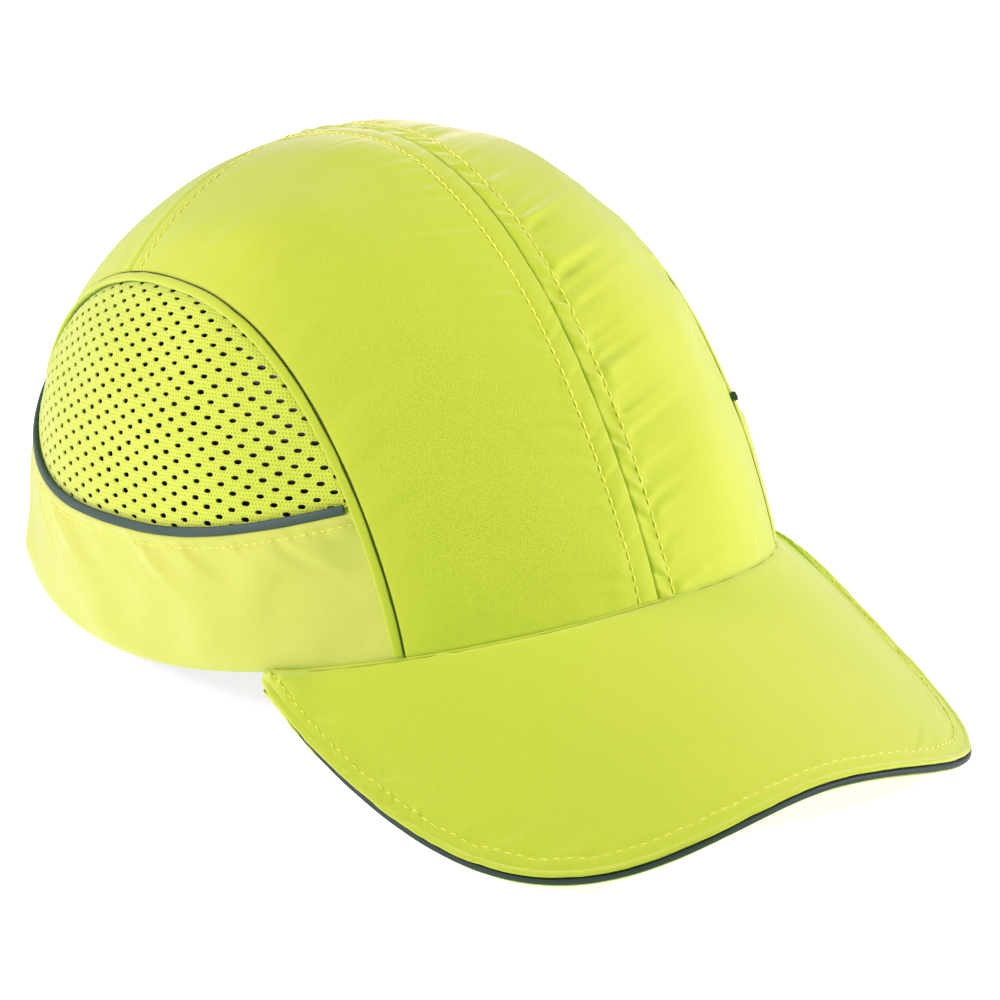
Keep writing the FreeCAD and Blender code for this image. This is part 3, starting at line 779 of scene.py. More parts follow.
def panel_line(panel, edge, offset, depth_shift, side=1, skip=2):
    """Path on a panel at a length from one of its edges."""
    grids = (panel.turn, panel.climb, panel.relief)
    if edge == FIRST_COLUMN:
        measure, grids = panel.across.T, [grid.T for grid in grids]
    else:
        measure = panel.length - panel.along
    points = []
    for i in range(0, len(measure), skip):
        j = np.argmin(np.abs(measure[i] - offset))
        near = np.clip(np.arange(j - 1, j + 2), 0, measure.shape[1] - 1)
        order = near[np.argsort(measure[i, near])]
        points.append([np.interp(offset, measure[i, order], grid[i, order]) for grid in grids])
    turn, climb, relief = np.array(points).T
    path, outward = surface_path(turn, climb, -(relief + depth_shift))
    return on_side(side, path, outward)


FRONT_COLUMNS, FRONT_ROWS = 104, 420
STITCH_OFFSET = {"left": 5.0, "right": 6.3}

front_panels = {}
for side, word, strong, seed in ((1, "left", 1.0, 11), (-1, "right", 0.36, 47)):
    panel = Panel(*strip(0.0, 1.0, FRONT_COLUMNS, FRONT_ROWS, front_over, rear_seam_over))
    panel.relief = soft_front(panel, STITCH_OFFSET[word], strong, seed)
    front_panels[word] = panel
    piece = panel.sheet("front_panel_cloth_" + word, side)
    finish_piece(piece, BODY_CAP, "lime", "hivis_cloth", "front_panel_" + word)
    declare_panel(panel)


def soft_rear(panel, seed):
    """Relief of the rear panel: three seams, gathers at its foot and slack."""
    across, along = panel.across, panel.along
    other = panel.width - across
    foot = panel.length - along
    relief = np.zeros(across.shape)
    for distance, number in ((across, 0), (other, 1)):
        relief += -1.1 * hill(distance, 0.0, 0.7)
        relief += 0.12 * ripple(along, 12.0, seed + number) * hill(distance, 3, 4)
    relief += -0.9 * hill(along, 0.0, 0.7) + 0.30 * hill(along, 2.2, 2.2)
    relief += -1.0 * hill(foot, 0.0, 1.2) + 0.25 * hill(foot, 5.0, 4.0)
    gather = ripple(across + 0.4 * foot, 4.5, seed + 2) + 0.6 * ripple(across - 0.5 * foot, 9.0, seed + 3)
    relief += 0.22 * gather * hill(foot, 5.5, 6.5)
    return relief + 0.36 * billow(across, along, 46.0, seed + 4) * away_from_edges(panel)


rear_panel = Panel(*strip(-1.0, 1.0, 150, 110, rear_seam_over, rear_foot_over))
rear_panel.relief = soft_rear(rear_panel, 71)
rear_cloth = rear_panel.sheet("rear_panel_cloth")
finish_piece(rear_cloth, BODY_CAP, "lime", "hivis_cloth", "rear_centre_panel")
declare_panel(rear_panel)


def band_front_turn(level):
    """Headings of a band's front edge, from hem (0) to piping (1)."""
    def outside(turn):
        height = hem_height(turn) + (piping_height(turn) - hem_height(turn)) * level
        return ring_point(turn, height)[..., 0] - SEAM_HALF_WIDTH
    return solve(outside, np.full(level.shape, math.radians(25)), np.full(level.shape, math.radians(80)))


def rear_turn_at(x, height):
    """Heading behind the head at a distance from the centre line and a height."""
    def short(turn):
        return x - ring_point(turn, height)[..., 0]
    low = np.full(np.shape(x), math.radians(120.0))
    return solve(short, low, low * 2)


def band_panel():
    """Wearer's left band as one grid: beside the head, then over the rear arch."""
    level = graded(44, 0.45)
    leg = float(rear_turn_at(np.array([ARCH_RADIUS]), np.array([ARCH_CENTRE_HEIGHT]))[0])
    share = graded(170, 0.25)[:, None]
    first = band_front_turn(level)[None]
    turn_side = first + (leg - first) * share
    height_side = hem_height(turn_side) + (piping_height(turn_side) - hem_height(turn_side)) * level[None]
    swing = np.linspace(0.0, 0.5 * math.pi, 60)[1:]
    x = ARCH_RADIUS * np.cos(swing)
    low = ARCH_CENTRE_HEIGHT + ARCH_RADIUS * np.sin(swing)
    turn_low = rear_turn_at(x, low)
    turn_high = leg + (math.pi - leg) * np.linspace(0, 1, 60)[1:]
    turn_arch = turn_low[:, None] + (turn_high - turn_low)[:, None] * level[None]
    high = piping_height(turn_high)
    height_arch = low[:, None] + (high - low)[:, None] * level[None]
    turn = np.concatenate([turn_side, turn_arch])
    height = np.concatenate([height_side, height_arch])
    return Panel(turn, climb_to(turn, height))


def soft_band(panel, seed):
    """Relief of a band: puckers under its piping and slack folds that lean back as they fall."""
    across, along = panel.across, panel.along
    below = panel.length - along
    relief = -0.9 * hill(below, 0.0, 0.8) + 0.38 * hill(below, 2.4, 1.1) - 0.34 * hill(below, 4.2, 0.6)
    gather = ripple(across + 0.35 * below, 1.7, seed) + 0.5 * ripple(across, 2.9, seed + 1)
    relief += 0.34 * gather * hill(below, 4.6, 2.3)
    drape = ripple(across + 1.1 * below, 4.6, seed + 2) + 0.7 * ripple(across + 0.7 * below, 8.0, seed + 5)
    relief += 0.62 * drape * hill(below, 9.0, 7.0) * (1 - np.exp(-(below / 4.0) ** 2))
    inner = np.clip(along / 6.0, 0, 1) * np.clip(below / 6.0, 0, 1)
    slack = 0.75 * billow(across, along, 38.0, seed + 3) + 0.45 * billow(across, along, 21.0, seed + 6)
    relief += slack * inner
    relief += -0.6 * hill(along, 0.0, 0.6) + 0.20 * hill(along, 3.0, 3.0)
    relief += -0.8 * hill(across, 0.0, 0.6) + 0.20 * ripple(along, 6.0, seed + 4) * hill(across, 5.0, 4.0)
    return kept_off(relief + 0.15 * inner, DEEPEST)


bands = {}
for side, word, seed in ((1, "left", 83), (-1, "right", 97)):
    panel = band_panel()
    panel.relief = soft_band(panel, seed)
    bands[word] = panel
    piece = panel.sheet("side_band_cloth_" + word, side)
    finish_piece(piece, BODY_CAP, "lime_band_painted_light", "hivis_cloth", "side_band_" + word)
    declare_panel(panel)


# ---- mesh panels --------------------------------------------------------------------------

MESH_BASE = 26.0
HOLE_HALF = (1.12, 0.60)


def off_crown(x, y, z):
    """Positive outside the crown, negative inside; with the heading and climb of the point."""
    share = np.minimum(z / CROWN_HEIGHT, 0.9999)
    fore = -(y + FORWARD_LEAN * share ** 2)
    turn = np.arctan2(x, fore)
    climb = np.arcsin(share ** (1.0 / profile_rise(turn)))
    return np.hypot(x, fore) - plan_radius(turn) * np.cos(climb), turn, climb


class SideChart:
    """Flat map of the crown's side: length round the head, and length up from a level line."""

    def __init__(self):
        self.y = np.linspace(-98.0, 98.0, 197)
        self.angle = np.radians(np.linspace(8.0, 80.0, 217))
        y = self.y[:, None] + 0 * self.angle[None]
        angle = self.angle[None] + 0 * y

        def outside(radius):
            return off_crown(radius * np.cos(angle), y, radius * np.sin(angle))[0]
        radius = solve(outside, np.full(y.shape, 5.0), np.full(y.shape, 170.0))
        self.x, self.z = radius * np.cos(angle), radius * np.sin(angle)
        points = np.stack([self.x, y, self.z], -1)
        arc = runs(points, 1)
        level = np.array([np.interp(MESH_BASE, self.z[i], arc[i]) for i in range(len(self.y))])
        self.arc = arc - level[:, None]
        line = np.stack([[np.interp(55.0, self.z[i], self.x[i]) for i in range(len(self.y))], self.y], -1)
        self.length = runs(line, 0)
        self.length -= np.interp(0.0, self.y, self.length)
        self.top = self.edge(lambda x, y, z: x - seam_half_width(y))
        self.foot = self.edge(lambda x, y, z: piping_height(off_crown(x, y, z)[1]) - z)

    def edge(self, above):
        """Height on the map of the line where a falling measure changes sign."""
        values = above(self.x, self.y[:, None] + 0 * self.x, self.z)
        heights = []
        for i in range(len(self.y)):
            sign = values[i] > 0
            k = int(np.argmin(sign)) if not sign.all() else len(sign) - 1
            k = max(k, 1)
            share = values[i, k - 1] / max(values[i, k - 1] - values[i, k], 1e-9)
            heights.append(self.arc[i, k - 1] + min(max(share, 0), 1) * (self.arc[i, k] - self.arc[i, k - 1]))
        return np.array(heights)

    def limits(self, s):
        return np.interp(s, self.length, self.foot), np.interp(s, self.length, self.top)

    def place(self, s, t):
        """Heading and climb of points of the map."""
        y = np.interp(s, self.length, self.y)
        index = np.clip((y - self.y[0]).astype(int), 0, len(self.y) - 2)
        share = y - self.y[index]
        z = np.empty(len(s))
        x = np.empty(len(s))
        for k in np.unique(index):
            here = index == k
            low = [np.interp(t[here], self.arc[k], v[k]) for v in (self.x, self.z)]
            high = [np.interp(t[here], self.arc[k + 1], v[k + 1]) for v in (self.x, self.z)]
            x[here] = low[0] + (high[0] - low[0]) * share[here]
            z[here] = low[1] + (high[1] - low[1]) * share[here]
        _, turn, climb = off_crown(x, y, z)
        return turn, climb


chart = SideChart()


def mesh_cell():
    """Rings of one cell round its hole, in flat millimetres: edge, two rings and the rim."""
    half = 0.5 * MESH_PITCH
    steps = np.array([-1.0, -0.5, 0.0, 0.5])
    edge = [(half, half * s) for s in steps] + [(-half * s, half) for s in steps]
    edge += [(-half, -half * s) for s in steps] + [(half * s, -half) for s in steps]
    edge = np.array(edge)
    angle = np.arctan2(edge[:, 1], edge[:, 0])
    oval = np.stack([np.cos(angle) * HOLE_HALF[0], np.sin(angle) * HOLE_HALF[1]], -1)
    square = (np.abs(np.cos(angle)) ** 2.4 + np.abs(np.sin(angle)) ** 2.4) ** (-1 / 2.4)
    oval = oval * square[:, None]
    return edge, oval


def mesh_sheet(name, side, seed):
    """Knitted mesh: a sheet of cells, each with its oval hole, clipped to the lens it fills."""
    edge, oval = mesh_cell()
    count = len(edge)
    rings = [(edge, 0.0), (oval * 0.45 + edge * 0.55, 0.05), (oval * 1.32, 0.10), (oval * 1.06, 0.0),
             (oval, -0.22), (oval * 1.04, -0.45), (oval * 0.4 + edge * 0.6, -0.50), (edge, -0.50)]
    jitter = np.random.default_rng(seed)
    first, last = int(-75 / MESH_PITCH), int(100 / MESH_PITCH)
    points, heights, faces = [], [], []
    walls = {}
    total = 0
    for column in range(first, last):
        for row in range(-2, 30):
            centre = np.array([column, row + 0.5 * (column % 2)]) * MESH_PITCH
            around = centre + edge
            foot, top = chart.limits(around[:, 0])
            if np.all((around[:, 1] < foot - 1.0) | (around[:, 1] > top + 1.0) | (top - foot < -1.5)):
                continue
            moved = centre + jitter.normal(0, 0.05, 2)
            scale = 1 + jitter.normal(0, 0.05)
            for number, (ring, height) in enumerate(rings):
                outermost = number in (0, len(rings) - 1)
                points.append(centre + ring if outermost else moved + ring * scale)
                heights.append(np.full(count, height))
            for ring in range(len(rings) - 1):
                for k in range(count):
                    a = total + ring * count + k
                    b = total + ring * count + (k + 1) % count
                    faces.append((a, b, b + count, a + count))
            bottom = total + (len(rings) - 1) * count
            for k in range(count):
                after = (k + 1) % count
                key = tuple(np.round((edge[k] + edge[after] + 2 * centre) * 4 / MESH_PITCH).astype(int))
                wall = (total + after, total + k, bottom + k, bottom + after)
                walls.setdefault(key, []).append(wall)
            total += len(rings) * count
    faces += [found[0] for found in walls.values() if len(found) == 1]
    flat = np.concatenate(points)
    height = np.concatenate(heights)
    foot, top = chart.limits(flat[:, 0])
    middle = 0.5 * (foot + top)
    half = np.maximum(0.5 * (top - foot), 0.3) + 0.3
    away = np.abs(flat[:, 1] - middle)
    held = np.minimum(away, half) + 0.7 * (1 - np.exp(-np.maximum(away - half, 0) / 1.5))
    t = middle + np.sign(flat[:, 1] - middle) * held
    from_foot, from_top = t - foot, top - t
    sink = 0.35 + 0.75 * np.exp(-(np.maximum(from_foot - 0.6, 0) / 2.0) ** 2)
    sink = np.maximum(sink, 0.35 + 0.75 * np.exp(-(np.maximum(from_top - 2.2, 0) / 1.8) ** 2))
    inner = np.clip(np.minimum(from_foot, from_top) / 10.0, 0, 1)
    slack = 0.32 * billow(flat[:, 0], t, 34.0, seed + 1) * inner
    turn, climb = chart.place(flat[:, 0], t)
    spots = dome(turn, climb, sink - height - slack)
    if side < 0:
        spots = mirrored(spots)
        faces = [face[::-1] for face in faces]
    piece = add_mesh(name, spots, faces, np.stack([flat[:, 0], t], -1), 50.0)
    return joined(piece)


def joined(piece, distance=0.001):
    """Join vertices that meet."""
    work = bmesh.new()
    work.from_mesh(piece.data)
    bmesh.ops.remove_doubles(work, verts=work.verts, dist=distance * MM)
    work.to_mesh(piece.data)
    work.free()
    return piece


mesh_tall = np.maximum(chart.top - chart.foot, 0)
mesh_area = float((0.5 * (mesh_tall[1:] + mesh_tall[:-1]) * np.diff(chart.length)).sum()) * MM * MM
for side, word, seed in ((1, "left", 131), (-1, "right", 137)):
    piece = mesh_sheet("mesh_panel_knit_" + word, side, seed)
    finish_piece(piece, BODY_CAP, "mesh", "hivis_mesh", "mesh_panel_" + word)


# ---- trim ---------------------------------------------------------------------------------

def seam_meets_piping():
    """Angle over the head where the side seam comes down to the piping behind."""
    over = np.radians(np.linspace(10, 178, 1700))
    turn, climb = saddle(seam_lateral(over), over)
    above = dome(turn, climb)[:, 2] > piping_height(turn)
    return over[np.flatnonzero(above)[-1]]


MESH_REAR_OVER = seam_meets_piping()
SEAM_FRONT_OVER = float(front_over(np.array([1.0]))[0])


def seam_line(offset, depth, first, last, count):
    """Path beside the side seam, at a length towards the mesh."""
    over = np.linspace(first, last, count)
    lateral = seam_lateral(over)
    reach = np.linalg.norm(dome(*saddle(lateral + 0.01, over)) - dome(*saddle(lateral, over)), axis=-1) / 0.01
    return surface_path(*saddle(lateral + offset / reach, over), depth)


def piping_line(offset, depth, first, last, count):
    """Path beside the band's piping, at a length above it."""
    turn = np.linspace(first, last, count)
    height = piping_height(turn)
    step = np.linalg.norm(ring_point(turn, height + 0.5) - ring_point(turn, height), axis=-1) / 0.5
    return surface_path(turn, climb_to(turn, height + offset / step), depth)


def strip_section(name, path, outward, section):
    """Closed strip of a given section, pairs of side and height, along a path."""
    tangent, outward = section_axes(path, outward)
    across = np.cross(outward, tangent)
    section = np.asarray(section, float)
    sides = section.shape[-2]
    section = np.broadcast_to(section, (len(path), sides, 2))
    vertices = path[:, None] + across[:, None] * section[..., :1] + outward[:, None] * section[..., 1:]
    faces = tube_faces(len(path), sides)
    uv = grid_uv(path_lengths(path), path_lengths(section[0])).reshape(-1, 2)
    return add_mesh(name, vertices.reshape(-1, 3), faces, uv, 50.0)


def cushion_section(half_width, height, base, sides=18, power=2.8):
    """Section of a flat roll: round-shouldered above, flat below."""
    angle = np.linspace(0, 2 * math.pi, sides, endpoint=False)
    x = half_width * np.sign(np.cos(angle)) * np.abs(np.cos(angle)) ** (2 / power)
    y = np.sign(np.sin(angle)) * np.abs(np.sin(angle)) ** (2 / power)
    return np.stack([x, np.where(y > 0, y * height, y * base)], -1)


def wavered(section, path, amount, step, seed):
    """A section that swells and narrows a little along its path."""
    along = path_lengths(path)
    swell = 1 + amount * ripple(along, step, seed)
    return section[None] * np.stack([swell, 1 + 1.5 * amount * ripple(along, step, seed + 1)], -1)[:, None]


PIPING_FIRST = float(band_front_turn(np.array([1.0]))[0])
# Front end of each piping: degrees it runs on over the side seam, and how far it lifts there.
PIPING_END = {"left": (4.0, 1.2), "right": (0.0, 0.0)}
for side, word, seed in ((1, "left", 151), (-1, "right", 167)):
    path, outward = seam_line(1.55, -0.02, SEAM_FRONT_OVER + 0.012, MESH_REAR_OVER - 0.03, 420)
    path, outward = on_side(side, path, outward)
    section = wavered(cushion_section(1.32, 0.62, 0.8), path, 0.09, 5.0, seed)
    roll = strip_section("seam_roll_cloth_" + word, path, outward, section)
    finish_piece(roll, BODY_CAP, "lime", "hivis_cloth", "seam_roll_" + word)
    # A thin dark cord in the seam's gap stands for the gap's shade: painted shade.
    path, outward = seam_line(-0.05, 0.10, SEAM_FRONT_OVER + 0.004, MESH_REAR_OVER - 0.02, 420)
    path, outward = on_side(side, path, outward)
    thread = tube_mesh("seam_gap_shade_" + word, path, outward, 0.17, 0.22, 8)
    finish_piece(thread, BODY_CAP, "gap", "hivis_cloth")
    over_seam, lift = PIPING_END[word]
    first = PIPING_FIRST + math.radians(2.6 - over_seam)
    path, outward = piping_line(0.0, -0.10, first, math.pi - 0.0008, 420)
    path, outward = on_side(side, path, outward)
    path = path + outward * (lift * hill(path_lengths(path), 0.0, 6.0))[:, None]
    section = wavered(cushion_section(1.28, 0.62, 0.8), path, 0.05, 7.0, seed + 5)
    piping = strip_section("reflective_piping_" + word, path, outward, section)
    finish_piece(piping, BODY_CAP, "reflective", "reflective_tape", "side_piping_" + word)

# A thin olive cord in the centre seam's groove stands for the groove's shade: painted shade.
centre_path, centre_out = surface_path(*saddle(np.zeros(260), np.linspace(
    float(front_over(np.array([0.0]))[0]), float(rear_seam_over(np.array([0.0]))[0]), 260)), 0.36)
gap = tube_mesh("centre_seam_gap_shade", centre_path, centre_out, 0.12, 0.15, 8)
finish_piece(gap, BODY_CAP, "gap_pale_painted_shade", "hivis_cloth")

rows = []
for side, word in SIDES:
    rows.append(panel_line(front_panels[word], FIRST_COLUMN, STITCH_OFFSET[word], 0.08, side))
    rows.append(panel_line(front_panels[word], LAST_ROW, 5.2, 0.05, side))
sew(BODY_CAP, "thread", "hivis_cloth", "crown_topstitch", rows, length=2.7, gap=0.3, radius=0.24)
rows = [panel_line(bands[word], LAST_ROW, 4.4, 0.0, side) for side, word in SIDES]
sew(BODY_CAP, "thread", "hivis_cloth", "band_topstitch", rows, length=1.8, gap=0.8, radius=0.18)


# ---- rear arch binding --------------------------------------------------------------------

def arch_path(count):
    """Points down one leg, round the arch and down the other leg: distance and swing."""
    leg = np.linspace(-2.6, 0.0, 8)[:-1]
    swing = np.linspace(0, math.pi, count)
    x = np.concatenate([np.full(7, 1.0), np.cos(swing), np.full(7, -1.0)])
    z = np.concatenate([np.zeros(7), np.sin(swing), np.zeros(7)])
    drop = np.concatenate([leg, np.zeros(count), leg[::-1]])
    return x, z, drop


def arch_turn(x, z):
    """Headings of points of the arch, on both sides of the centre line."""
    turn = rear_turn_at(np.abs(x), z)
    return np.where(x < 0, 2 * math.pi - turn, turn)


def arch_binding():
    """Strip folded over the arch's edge, closed at its two ends."""
    x_way, z_way, drop = arch_path(130)
    section = np.array([(5.0, 0.0), (4.9, -0.5), (4.4, -0.72), (2.6, -0.78), (0.6, -0.72), (-0.45, -0.45),
                        (-0.85, 0.3), (-0.45, 1.15), (0.6, 1.42), (2.6, 1.5), (4.4, 1.42), (4.9, 1.2),
                        (5.0, 0.8)])
    along = path_lengths(np.stack([x_way, z_way], -1) * ARCH_RADIUS)
    wave = 0.12 * ripple(along, 6.0, 301)
    reach = ARCH_RADIUS + section[None, :, 0] + wave[:, None] * (np.abs(section[None, :, 1]) > 0.3)
    x = x_way[:, None] * reach
    z = ARCH_CENTRE_HEIGHT + z_way[:, None] * reach + drop[:, None]
    vertices = ring_point(arch_turn(x, z), z, section[None, :, 1] + 0 * z)
    faces = tube_faces(len(x_way), len(section), flip=True)
    girth = path_lengths(section)
    uv = grid_uv(along, girth).reshape(-1, 2)
    return add_mesh("arch_binding_cloth", vertices.reshape(-1, 3), faces, uv, 60.0)


binding = arch_binding()
finish_piece(binding, BODY_CAP, "lime_band_painted_light", "hivis_cloth", "rear_arch_binding")


def arch_line(inset, depth, count=160):
    """Path round the arch at a length out from its edge."""
    x_way, z_way, drop = arch_path(count)
    reach = ARCH_RADIUS + inset
    z = ARCH_CENTRE_HEIGHT + z_way * reach + drop
    turn = arch_turn(x_way * reach, z)
    return surface_path(turn, climb_to(turn, z), depth)


sew(BODY_CAP, "thread", "hivis_cloth", "arch_topstitch", [arch_line(3.9, -0.74)],
    length=2.0, gap=0.9, radius=0.2)


# ---- brim ---------------------------------------------------------------------------------

def brim_sheet(x, y):
    """Height of the brim's bent sheet."""
    return BRIM_ROOT_HEIGHT + BRIM_SLOPE * (y + FRONT_REACH) - BRIM_CURL * x * x


def brim_outline(swing):
    """Rim of the brim, tucked in and down towards its two ends."""
    sine = np.sin(swing)
    sign = np.sign(sine)
    x = sign * BRIM_HALF_WIDTH * np.abs(sine) ** (2 / BRIM_SIDE_POWER)
    y = BRIM_BASE_Y - BRIM_LENGTH * np.cos(swing) ** (2 / BRIM_FRONT_POWER)
    tuck = np.maximum(0.0, (y - BRIM_TUCK_START) / BRIM_TUCK_LENGTH)
    x = x - sign * BRIM_TUCK_IN * tuck ** 2
    return np.stack([x, y, brim_sheet(x, y) - BRIM_TUCK_DOWN * tuck ** 3], -1)


def by_length(points):
    """Function from a share of a path's length to its points."""
    length = path_lengths(points)
    return lambda share: np.stack([np.interp(share * length[-1], length, points[:, k]) for k in range(3)], -1)


def brim_curves():
    """Root and rim of the brim, each as a function of a share of its length."""
    last = math.acos(((BRIM_BASE_Y - BRIM_END_Y) / BRIM_LENGTH) ** (BRIM_FRONT_POWER / 2))
    rim = by_length(brim_outline(np.linspace(-last, last, 2401)))
    turn = np.linspace(-BRIM_END_TURN, BRIM_END_TURN, 801)
    root = by_length(ring_point(turn, hem_height(turn), -0.4))
    return root, rim


BRIM_ROOT, BRIM_RIM = brim_curves()


def brim_point(u, v, drop):
    """Point of the brim: u along it, v from the seam (0) to the rim (1), drop below its top."""
    root, rim = BRIM_ROOT(u), BRIM_RIM(u)
    x = root[..., 0] + (rim[..., 0] - root[..., 0]) * v
    y = root[..., 1] + (rim[..., 1] - root[..., 1]) * v
    at_root = root[..., 2] - brim_sheet(root[..., 0], root[..., 1])
    at_rim = rim[..., 2] - brim_sheet(rim[..., 0], rim[..., 1])
    between = np.minimum(0.0, np.maximum(at_root, at_rim))
    height = brim_sheet(x, y) + at_root * (1 - v) ** 2 + 2 * between * v * (1 - v) + at_rim * v ** 2
    return np.stack([x, y, height - drop], -1)


def rim_outward(u):
    """Level direction out from the rim."""
    step = 0.002
    along = BRIM_RIM(np.minimum(u + step, 1)) - BRIM_RIM(np.maximum(u - step, 0))
    return unit(np.stack([along[..., 1], -along[..., 0], np.zeros(along.shape[:-1])], -1))


BRIM_COLUMNS, BRIM_ROWS, BRIM_ROLL_ROWS = 340, 84, 10
BRIM_TURNED_IN = (2.2, 1.1)


def brim_cover(name, upper, seed):
    """Cover of the brim from its seam, over the board and round the rim."""
    u = np.linspace(0, 1, BRIM_COLUMNS + 1)[:, None]
    v = np.concatenate([[0.0, 0.0], graded(BRIM_ROWS, 0.45)])[None] + 0 * u
    u = u + 0 * v
    base = brim_point(u, v, 0.0)
    inward = unit(-base[:, 2] * np.array([1.0, 1.0, 0.0]))
    for column, reach in enumerate(BRIM_TURNED_IN):
        base[:, column] += inward * reach + np.array([0.0, 0.0, 0.45 * reach])
    across = runs(base, 1)
    across -= across[:, 2:3]
    inset = across[:, -1:] - across
    along = runs(base, 0)
    edge = ripple(along + 0.5 * inset, 2.0, seed)
    wide = ripple(along - 0.5 * inset, 4.4, seed + 1)
    strength = 1.0 if upper else 0.6
    # Edge: a welt and a sunk row of stitches, with puckers that are strongest near the two ends.
    relief = 0.22 * hill(inset, 2.0, 1.8) - 0.26 * hill(inset, 4.2, 0.5)
    share = along / along[-1:]
    near_end = 0.35 + 0.65 * hill(share, 0.10, 0.22) + 0.4 * hill(share, 0.95, 0.15)
    puckers = 0.55 * edge * hill(inset, 3.4, 2.6) + 0.85 * wide * hill(inset, 8.0, 5.0)
    relief += strength * near_end * puckers
    # Root, where the cover dips into the seam.
    relief += -0.35 * hill(across, 0.0, 0.8) + 0.12 * hill(across, 2.6, 2.4)
    relief += 0.12 * ripple(along, 9.0, seed + 2) * hill(across, 5.0, 5.0)
    slack = 0.16 * billow(base[..., 0], base[..., 1], 44.0, seed + 3)
    relief += slack * np.clip(inset / 12, 0, 1) * np.clip(across / 10, 0, 1)
    ends = np.minimum(along, along[-1:] - along)
    relief *= np.clip(ends / 3.0, 0.0, 1.0)
    direction = 1.0 if upper else -1.0
    top = base.copy()
    top[..., 2] += direction * relief if upper else -relief - BRIM_THICKNESS
    roll = np.linspace(0, 1, BRIM_ROLL_ROWS + 1)[1:]
    angle = roll * math.radians(112)
    rim_length = along[:, -1]
    swell = (1.55 if upper else 0.75) + 0.22 * ripple(rim_length, 5.0, seed + 4)[:, None]
    swell = swell + 0.10 * ripple(rim_length, 2.2, seed + 5)[:, None]
    swell = 0.15 + (swell - 0.15) * np.clip(ends[:, -1:] / 10.0, 0.0, 1.0) ** 0.7
    reach = swell * np.sin(angle)[None]
    drop = 0.95 * (1 - np.cos(angle))[None] * (1 + 0 * swell)
    out = rim_outward(u[:, -1])[:, None]
    edge_points = top[:, -1:] + out * reach[..., None]
    edge_points[..., 2] -= direction * drop
    outer = np.concatenate([top, edge_points], axis=1)
    inner_top = top.copy()
    inner_top[..., 2] -= direction * CLOTH
    thin = np.maximum(swell - CLOTH, 0.3 * swell)
    inner_edge = inner_top[:, -1:] + out * (thin * np.sin(angle)[None])[..., None]
    inner_edge[..., 2] -= direction * 0.45 * (1 - np.cos(angle))[None]
    inner = np.concatenate([inner_top, inner_edge], axis=1)
    uv = np.stack([base[..., 0], base[..., 1]], -1)
    more = uv[:, -1:] + out[..., :2] * (roll[None] * 2.0)[..., None]
    uv = np.concatenate([uv, more], axis=1)
    piece = sheet_mesh(name, outer, inner, uv, flip=upper)
    return piece, grid_area(outer), (base, relief, inset)


brim_top, top_area, brim_grid = brim_cover("brim_top_cloth", True, 211)
finish_piece(brim_top, BODY_CAP, "lime_brim", "hivis_cloth", "brim_top_cover")
brim_under, under_area, _ = brim_cover("brim_under_cloth", False, 229)
finish_piece(brim_under, BODY_CAP, "lime_brim", "hivis_cloth", "brim_under_cover")


def brim_line(inset, lift, under=False):
    """Path on the brim at a length in from the rim."""
    base, relief, from_rim = brim_grid
    points = []
    for i in range(6, BRIM_COLUMNS - 5):
        order = np.argsort(from_rim[i])
        place = [np.interp(inset, from_rim[i][order], base[i][order, k]) for k in range(3)]
        rise = np.interp(inset, from_rim[i][order], relief[i][order])
        place[2] += (-rise - BRIM_THICKNESS - lift) if under else rise + lift
        points.append(place)
    path = np.array(points)
    up = np.tile([0.0, 0.0, -1.0 if under else 1.0], (len(path), 1))
    return path, up


sew(BODY_CAP, "thread", "hivis_cloth", "brim_topstitch", [brim_line(3.6, -0.06)], radius=0.17)
sew(BODY_CAP, "thread", "hivis_cloth", "brim_under_stitch", [brim_line(3.6, -0.02, True)])

u = np.linspace(0.004, 0.996, 420)
tucked = np.clip(1.0 - np.minimum(u, 1.0 - u) / 0.34, 0.0, 1.0) ** 0.8
rim_path = BRIM_RIM(u) + rim_outward(u) * (0.75 - 0.85 * tucked)[:, None]
rim_path[:, 2] -= 2.62 + 0.15 * tucked
up = np.tile([0.0, 0.0, 1.0], (len(u), 1))
section = wavered(cushion_section(0.98, 0.86, 0.86, 18, 2.4), rim_path, 0.05, 6.0, 241)
rim_ends = np.minimum(path_lengths(rim_path), path_lengths(rim_path)[-1] - path_lengths(rim_path))
section = section * (0.25 + 0.75 * np.clip((rim_ends - 4.0) / 40.0, 0, 1) ** 0.8)[:, None, None]
rim_piping = strip_section("brim_reflective_piping", rim_path, up, section)
# The brim's piping takes the darker copy of the tape: painted shade.
finish_piece(rim_piping, BODY_CAP, "reflective_rim_painted_shade", "reflective_tape", "brim_edge_piping")

# A thin olive cord, sunk unevenly, along the brim's seam: painted shade of the seam.
seam_turn = np.linspace(-BRIM_END_TURN * 0.985, BRIM_END_TURN * 0.985, 300)
seam_sink = 0.10 + 0.12 * ripple(np.degrees(seam_turn) * 1.9, 4.0, 251)
path, outward = surface_path(seam_turn, climb_to(seam_turn, hem_height(seam_turn) - 0.35), seam_sink - 0.35)
brim_seam_shade_cord = tube_mesh("brim_seam_gap_shade", path, outward, 0.15, 0.15, 8)
finish_piece(brim_seam_shade_cord, BODY_CAP, "gap_pale_painted_shade", "hivis_cloth")


# ---- inside of the cap --------------------------------------------------------------------

